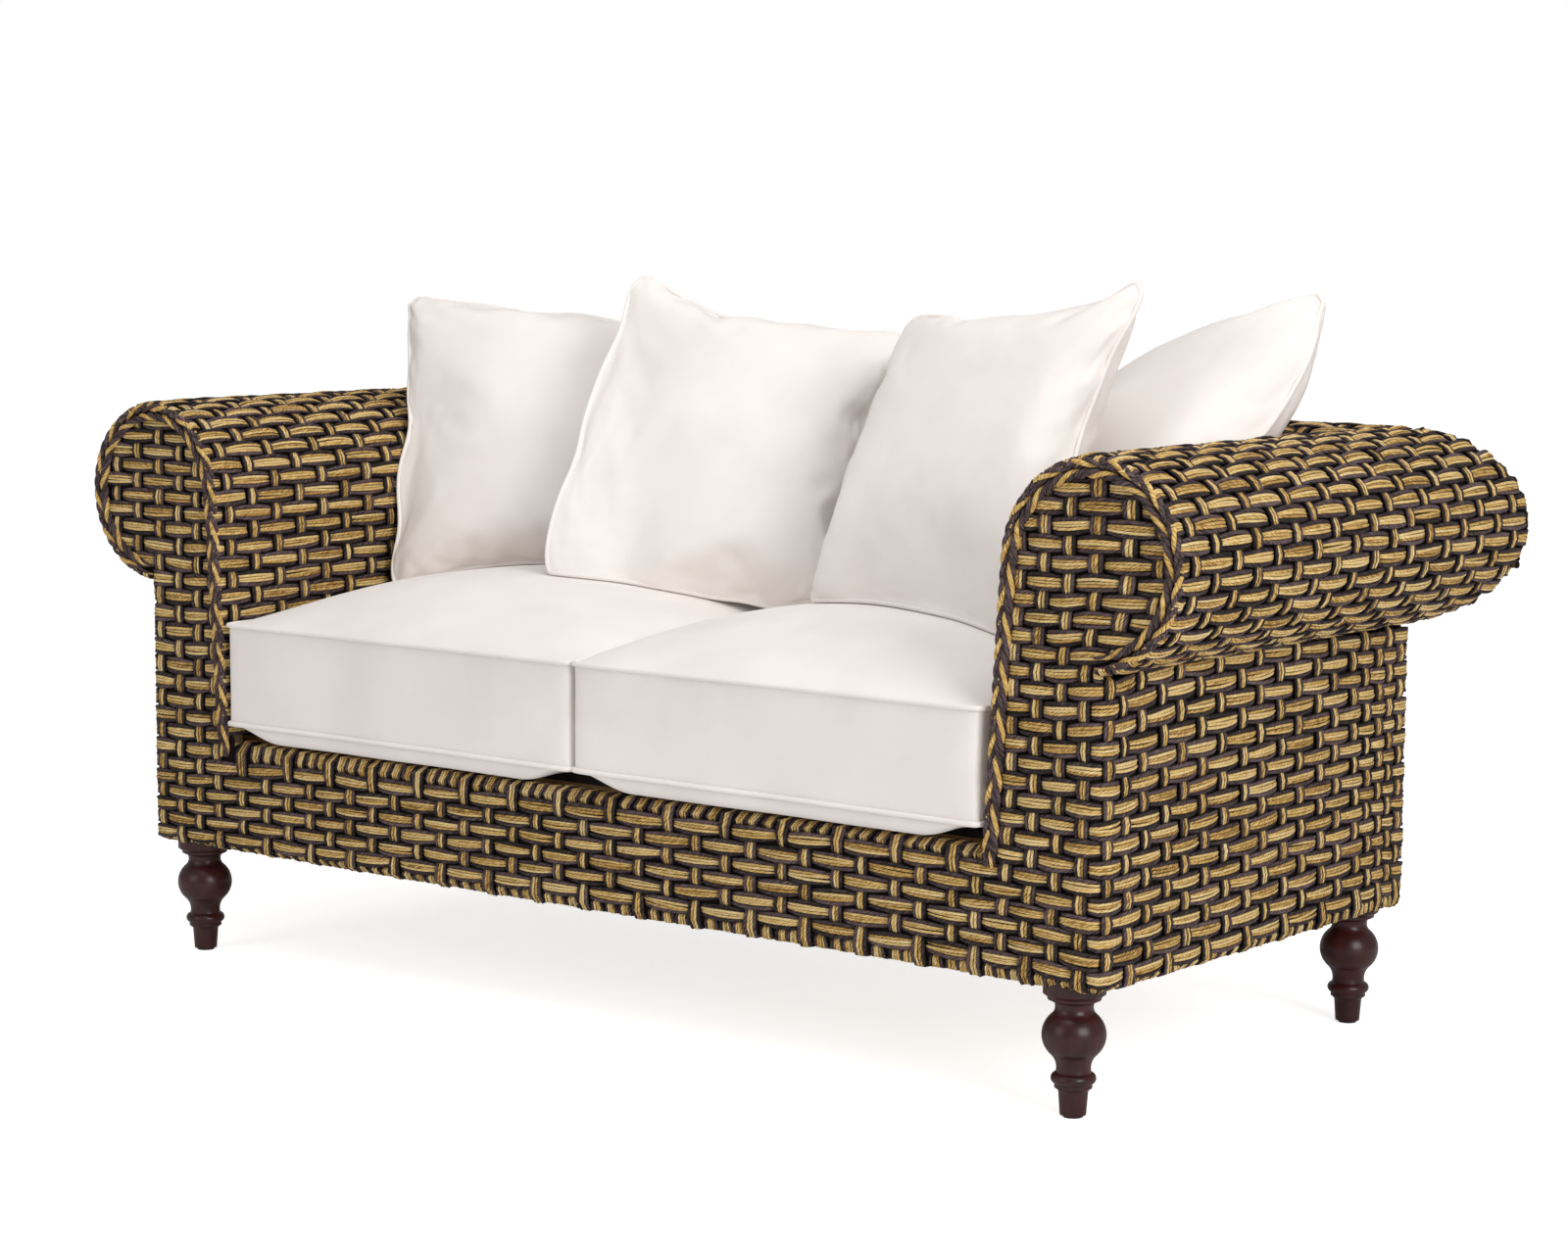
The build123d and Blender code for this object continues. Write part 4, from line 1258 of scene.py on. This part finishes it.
def filled_pillow(pinches):
    """Points of a pillow in its own frame; the pinched places of the seam are held."""
    half = 10 * ((1 - a ** 2) * (1 - b ** 2)) ** 0.5
    start = np.concatenate([np.stack([cut_x, cut_y, half], -1).reshape(-1, 3),
                            np.stack([cut_x, cut_y, -half], -1)[inner]])
    cut = start * (1, 1, 0)
    start[:, 2] += random.normal(0, 0.5, len(start))
    held = np.zeros(len(start), bool)
    for at, up, pull_x, pull_y, reach in pinches:
        near = nearness(at, up, reach)
        start[:, 0] += pull_x * near
        start[:, 1] += pull_y * near
        held |= on_rim & (near > 0.8)
    points = fill_cloth(start, cut, pillow_faces, pillow_pressure, held)
    points[rim] = smooth_ring(points[rim], 4)
    return points


# %% Let a pillow down on the seat
seam_room, wall_room = 4.0, 4.0
least_drop, most_drop = -20, 42
most_push = 25


def laid_pillow(points, centre, turns, slumps):
    """Points in their place: turned, dragged at its corners, held off the walls, and let down.

    The lower seam is let down by its gap to the seat, which fades up the pillow as (-b) ** 3.
    """
    placed = points @ turned_frame(turns).T + np.array(centre)
    seam = placed[:pillow_count ** 2].reshape(pillow_count, pillow_count, 3)[:, 0]
    gap = seam[:, 2] - seat_top(seam[:, 0], seam[:, 1]) - seam_room
    gap = np.clip(gap, least_drop, most_drop)
    for at, up, reach, drag in slumps:
        placed += nearness(at, up, reach)[:, None] * np.array(drag, float)
    wall = wall_out(placed[:, 2]) - wall_room
    placed[:, 0] = np.clip(placed[:, 0], -inner_half - wall, inner_half + wall)
    placed[:, 1] = np.minimum(placed[:, 1], back_inner + wall)
    placed[:, 2] -= np.interp(both_a, line, gap) * np.clip(-both_b, 0, 1) ** 3
    over = seat_top(placed[:, 0], placed[:, 1]) + 1.0 - placed[:, 2]
    placed[:, 2] += np.clip(over, 0, most_push)
    return placed


for name, (centre, turns) in pillow_places.items():
    points = filled_pillow(pillow_pinches[name])
    placed = laid_pillow(points, centre, turns, pillow_slumps[name])
    cloth_piece(name + "_cloth", placed, pillow_faces, name, name)
    welt(name + "_welt", [smooth_ring(placed[rim], 2)], pillow_welt, name)
    print(name, "thickness", round(float(np.ptp(points[:, 2]))), "mm")

# %% [markdown]
# ## Seat cushions
# Box cushions: a crowned top and a soft belly, joined by a boxing strip with a welt in each
# seam. Foam inside keeps the box square, so there is little for a simulation to find. Top,
# belly and boxing are therefore formulas, and a groove just inside each seam sets off the welt.

# %% Cloth of a seat cushion
seat_count = 57
boxing_steps = np.array([0.03, 0.09, 0.22, 0.4, 0.6, 0.78, 0.91, 0.97])[:, None]
line, a, b, corner = square_grid(seat_count, 1.5, 5.0, 0.04)
index = np.arange(seat_count ** 2).reshape(seat_count, seat_count)
rim = rim_of(index)
under = index + seat_count ** 2
boxing = 2 * seat_count ** 2 + np.arange(len(boxing_steps) * len(rim)).reshape(-1, len(rim))
strip = np.concatenate([rim[None], boxing, (rim + seat_count ** 2)[None]])
following = np.roll(strip, -1, 1)
seat_faces = np.concatenate([
    np.stack([index[:-1, :-1], index[1:, :-1], index[1:, 1:], index[:-1, 1:]], -1).reshape(-1, 4),
    np.stack([under[:-1, :-1], under[:-1, 1:], under[1:, 1:], under[1:, :-1]], -1).reshape(-1, 4),
    np.stack([strip[:-1], following[:-1], following[1:], strip[1:]], -1).reshape(-1, 4)])
# Which points lie on an edge, and on which side of the cushion
edge_x, edge_y = (np.sign(v) * (np.abs(v) > 0.9999) for v in (a, b))
groove, seat_welt = 3.0, 3.7
end_hollow, front_wave = 5, 1.2
side_round, slow_reach, end_round = 30, 95, 15
sag_places, sags = (seat_front_y, seat_front_y + 30, seat_front_y + 55), (25.0, 24.0, 20.7)
print("a seat cushion has", len(seat_faces), "faces before it is subdivided")


# %% Belly and boxing of a seat cushion
def round_over(distance, reach):
    """Quarter circle from 0 at an edge to 1 at its reach: sqrt(1 - (1 - share) ** 2)."""
    return np.sqrt(1 - (1 - np.clip(distance / reach, 0, 1)) ** 2)


def slow_start(distance, reach):
    """From 0 at an edge to 1 at its reach, level at both ends: share ** 2 * (3 - 2 * share)."""
    share = np.clip(distance / reach, 0, 1)
    return share ** 2 * (3 - 2 * share)


def belly_sag(y):
    """How far the belly hangs below its seam: deepest near the front, and rounded to all edges.

    Near the front it also rises slowly to the sides, which leaves a dark gap over the rail.
    """
    from_side, from_end = (1 - np.abs(a)) * seat_half, (1 - np.abs(b)) * seat_depth / 2
    near_front = np.clip(1.6 - from_end / 60, 0, 1) * (b < 0)
    share = near_front * slow_start(from_side, slow_reach)
    share = share + (1 - near_front) * round_over(from_side, side_round)
    return np.interp(y, sag_places, sags) * round_over(from_end, end_round) * share


def boxing_strip(outline, high, side):
    """Rows of the boxing, drawn in by 1.2 + 1.2 * sin(pi * step) mm, with a ripple of 0.8 mm."""
    ring_x, ring_y = outline.T
    swell = np.sin(math.pi * boxing_steps)
    ripple = np.sin((ring_x + ring_y) / 23 + 5 * boxing_steps + side)
    bow = 1.2 + 1.2 * swell + 0.8 * ripple * swell
    return np.stack(np.broadcast_arrays(
        ring_x - bow * edge_x.ravel()[rim], ring_y - bow * edge_y.ravel()[rim],
        high + (low_seam - high) * boxing_steps), -1)


# %% Seat cushions
for side, word in sides:
    x = seat_middle * side + seat_half * a - np.sign(a) * corner
    # Front and rear are drawn in towards their middle, and the front seam wavers a little
    y = seat_centre_y + seat_depth / 2 * b - np.sign(b) * corner
    y = y - end_hollow * b ** 3 * (1 - a ** 2)
    y = y + front_wave * np.sin(9 * a + side) * (1 - a ** 2) * (b < 0) * b ** 2
    outline = np.stack([x, y], -1).reshape(-1, 2)[rim]
    x, y = x - groove * edge_x, y - groove * edge_y
    top_line = high_seam + inner_lift(a * side, b)
    top = np.stack([x, y, top_line + crown * crown_share(a, b)], -1).reshape(-1, 3)
    bottom = np.stack([x, y, low_seam - belly_sag(y)], -1).reshape(-1, 3)
    high = top_line.ravel()[rim]
    box = boxing_strip(outline, high, side)
    points = np.concatenate([top, bottom, box.reshape(-1, 3)])
    cloth_piece(f"seat_cushion_{word}_cloth", points, seat_faces, f"seat_cushion_{word}",
                f"seat_cushion_{word}")
    seams = [np.column_stack([outline, level]) for level in (high, np.full(len(rim), low_seam))]
    welt(f"seat_cushion_{word}_welt", [smooth_ring(seam, 2) for seam in seams], seat_welt,
         f"seat_cushion_{word}")
    print("seat cushion", word, "is", round(float(np.ptp(points[:, 2]))), "mm high")

# %% [markdown]
# ## Floor and surround
# The photograph shows no horizon, only white and a soft shadow. A plain white floor would end in
# a line against the surround. So the floor glows a little for the camera alone, and stays matt
# for the light that falls on it. The surround is full white to the camera only.

# %% Floor and world
floor_material, tree, out = start_material("paper_white_sweep")
path = add_node(tree, "ShaderNodeLightPath")
matt = add_node(tree, "ShaderNodeBsdfDiffuse", values={"Color": ink("#F7F7F7")})
glow = add_node(tree, "ShaderNodeEmission", values={"Color": ink("#FFFFFF"), "Strength": 0.74})
lifted = add_node(tree, "ShaderNodeAddShader", links={0: matt.outputs[0], 1: glow.outputs[0]})
shown = add_node(tree, "ShaderNodeMixShader", links={
    "Fac": path.outputs["Is Camera Ray"], 1: matt.outputs[0], 2: lifted.outputs[0]})
tree.links.new(shown.outputs[0], out.inputs["Surface"])
floor_half = 30  # metres
floor_mesh = bpy.data.meshes.new("floor")
floor_mesh.from_pydata([(x * floor_half, y * floor_half, 0) for x, y in
                        ((-1, -1), (1, -1), (1, 1), (-1, 1))], [], [(0, 1, 2, 3)])
floor_mesh.materials.append(floor_material)
floor = bpy.data.objects.new("floor", floor_mesh)
bpy.context.scene.collection.objects.link(floor)

world = bpy.data.worlds.new("studio")
bpy.context.scene.world = world
world.use_nodes = True
tree = world.node_tree
tree.nodes.clear()
out = tree.nodes.new("ShaderNodeOutputWorld")
path = add_node(tree, "ShaderNodeLightPath")
soft = add_node(tree, "ShaderNodeBackground", values={"Color": ink("#FFFFFF"), "Strength": 0.35})
white = add_node(tree, "ShaderNodeBackground", values={"Color": ink("#FFFFFF"), "Strength": 1.0})
both = add_node(tree, "ShaderNodeMixShader", links={
    "Fac": path.outputs["Is Camera Ray"], 1: soft.outputs[0], 2: white.outputs[0]})
tree.links.new(both.outputs[0], out.inputs["Surface"])
print("floor and surround are set")

# %% [markdown]
# ## Lamps
# The photograph has soft shadows and a brighter right side. One hard lamp would burn out the
# cloth. So a large soft lamp stands at the right, with weaker ones above and in front. Their
# power was set by comparing tones of the render with the same places of the photograph.


# %% Lamps
def add_lamp(name, place, aim, size, power):
    """A square soft lamp that looks at a point."""
    data = bpy.data.lights.new(name, "AREA")
    data.size = size
    data.energy = power
    lamp = bpy.data.objects.new(name, data)
    bpy.context.scene.collection.objects.link(lamp)
    way = np.array(aim, float) - np.array(place, float)
    lamp.location = place
    lamp.rotation_euler = (math.atan2(math.hypot(way[0], way[1]), -way[2]), 0,
                           math.atan2(way[1], way[0]) - math.pi / 2)
    return lamp


aim = (0, 0, 0.5)
add_lamp("top_lamp", (0.6, -0.6, 3.8), aim, 3.0, 64)
add_lamp("key_lamp", (4.5, -1.7, 2.0), aim, 2.2, 116)
add_lamp("fill_lamp", (-1.2, -4.4, 1.8), aim, 2.2, 28)
bpy.context.scene.view_settings.view_transform = "Standard"
print("lamps are set")
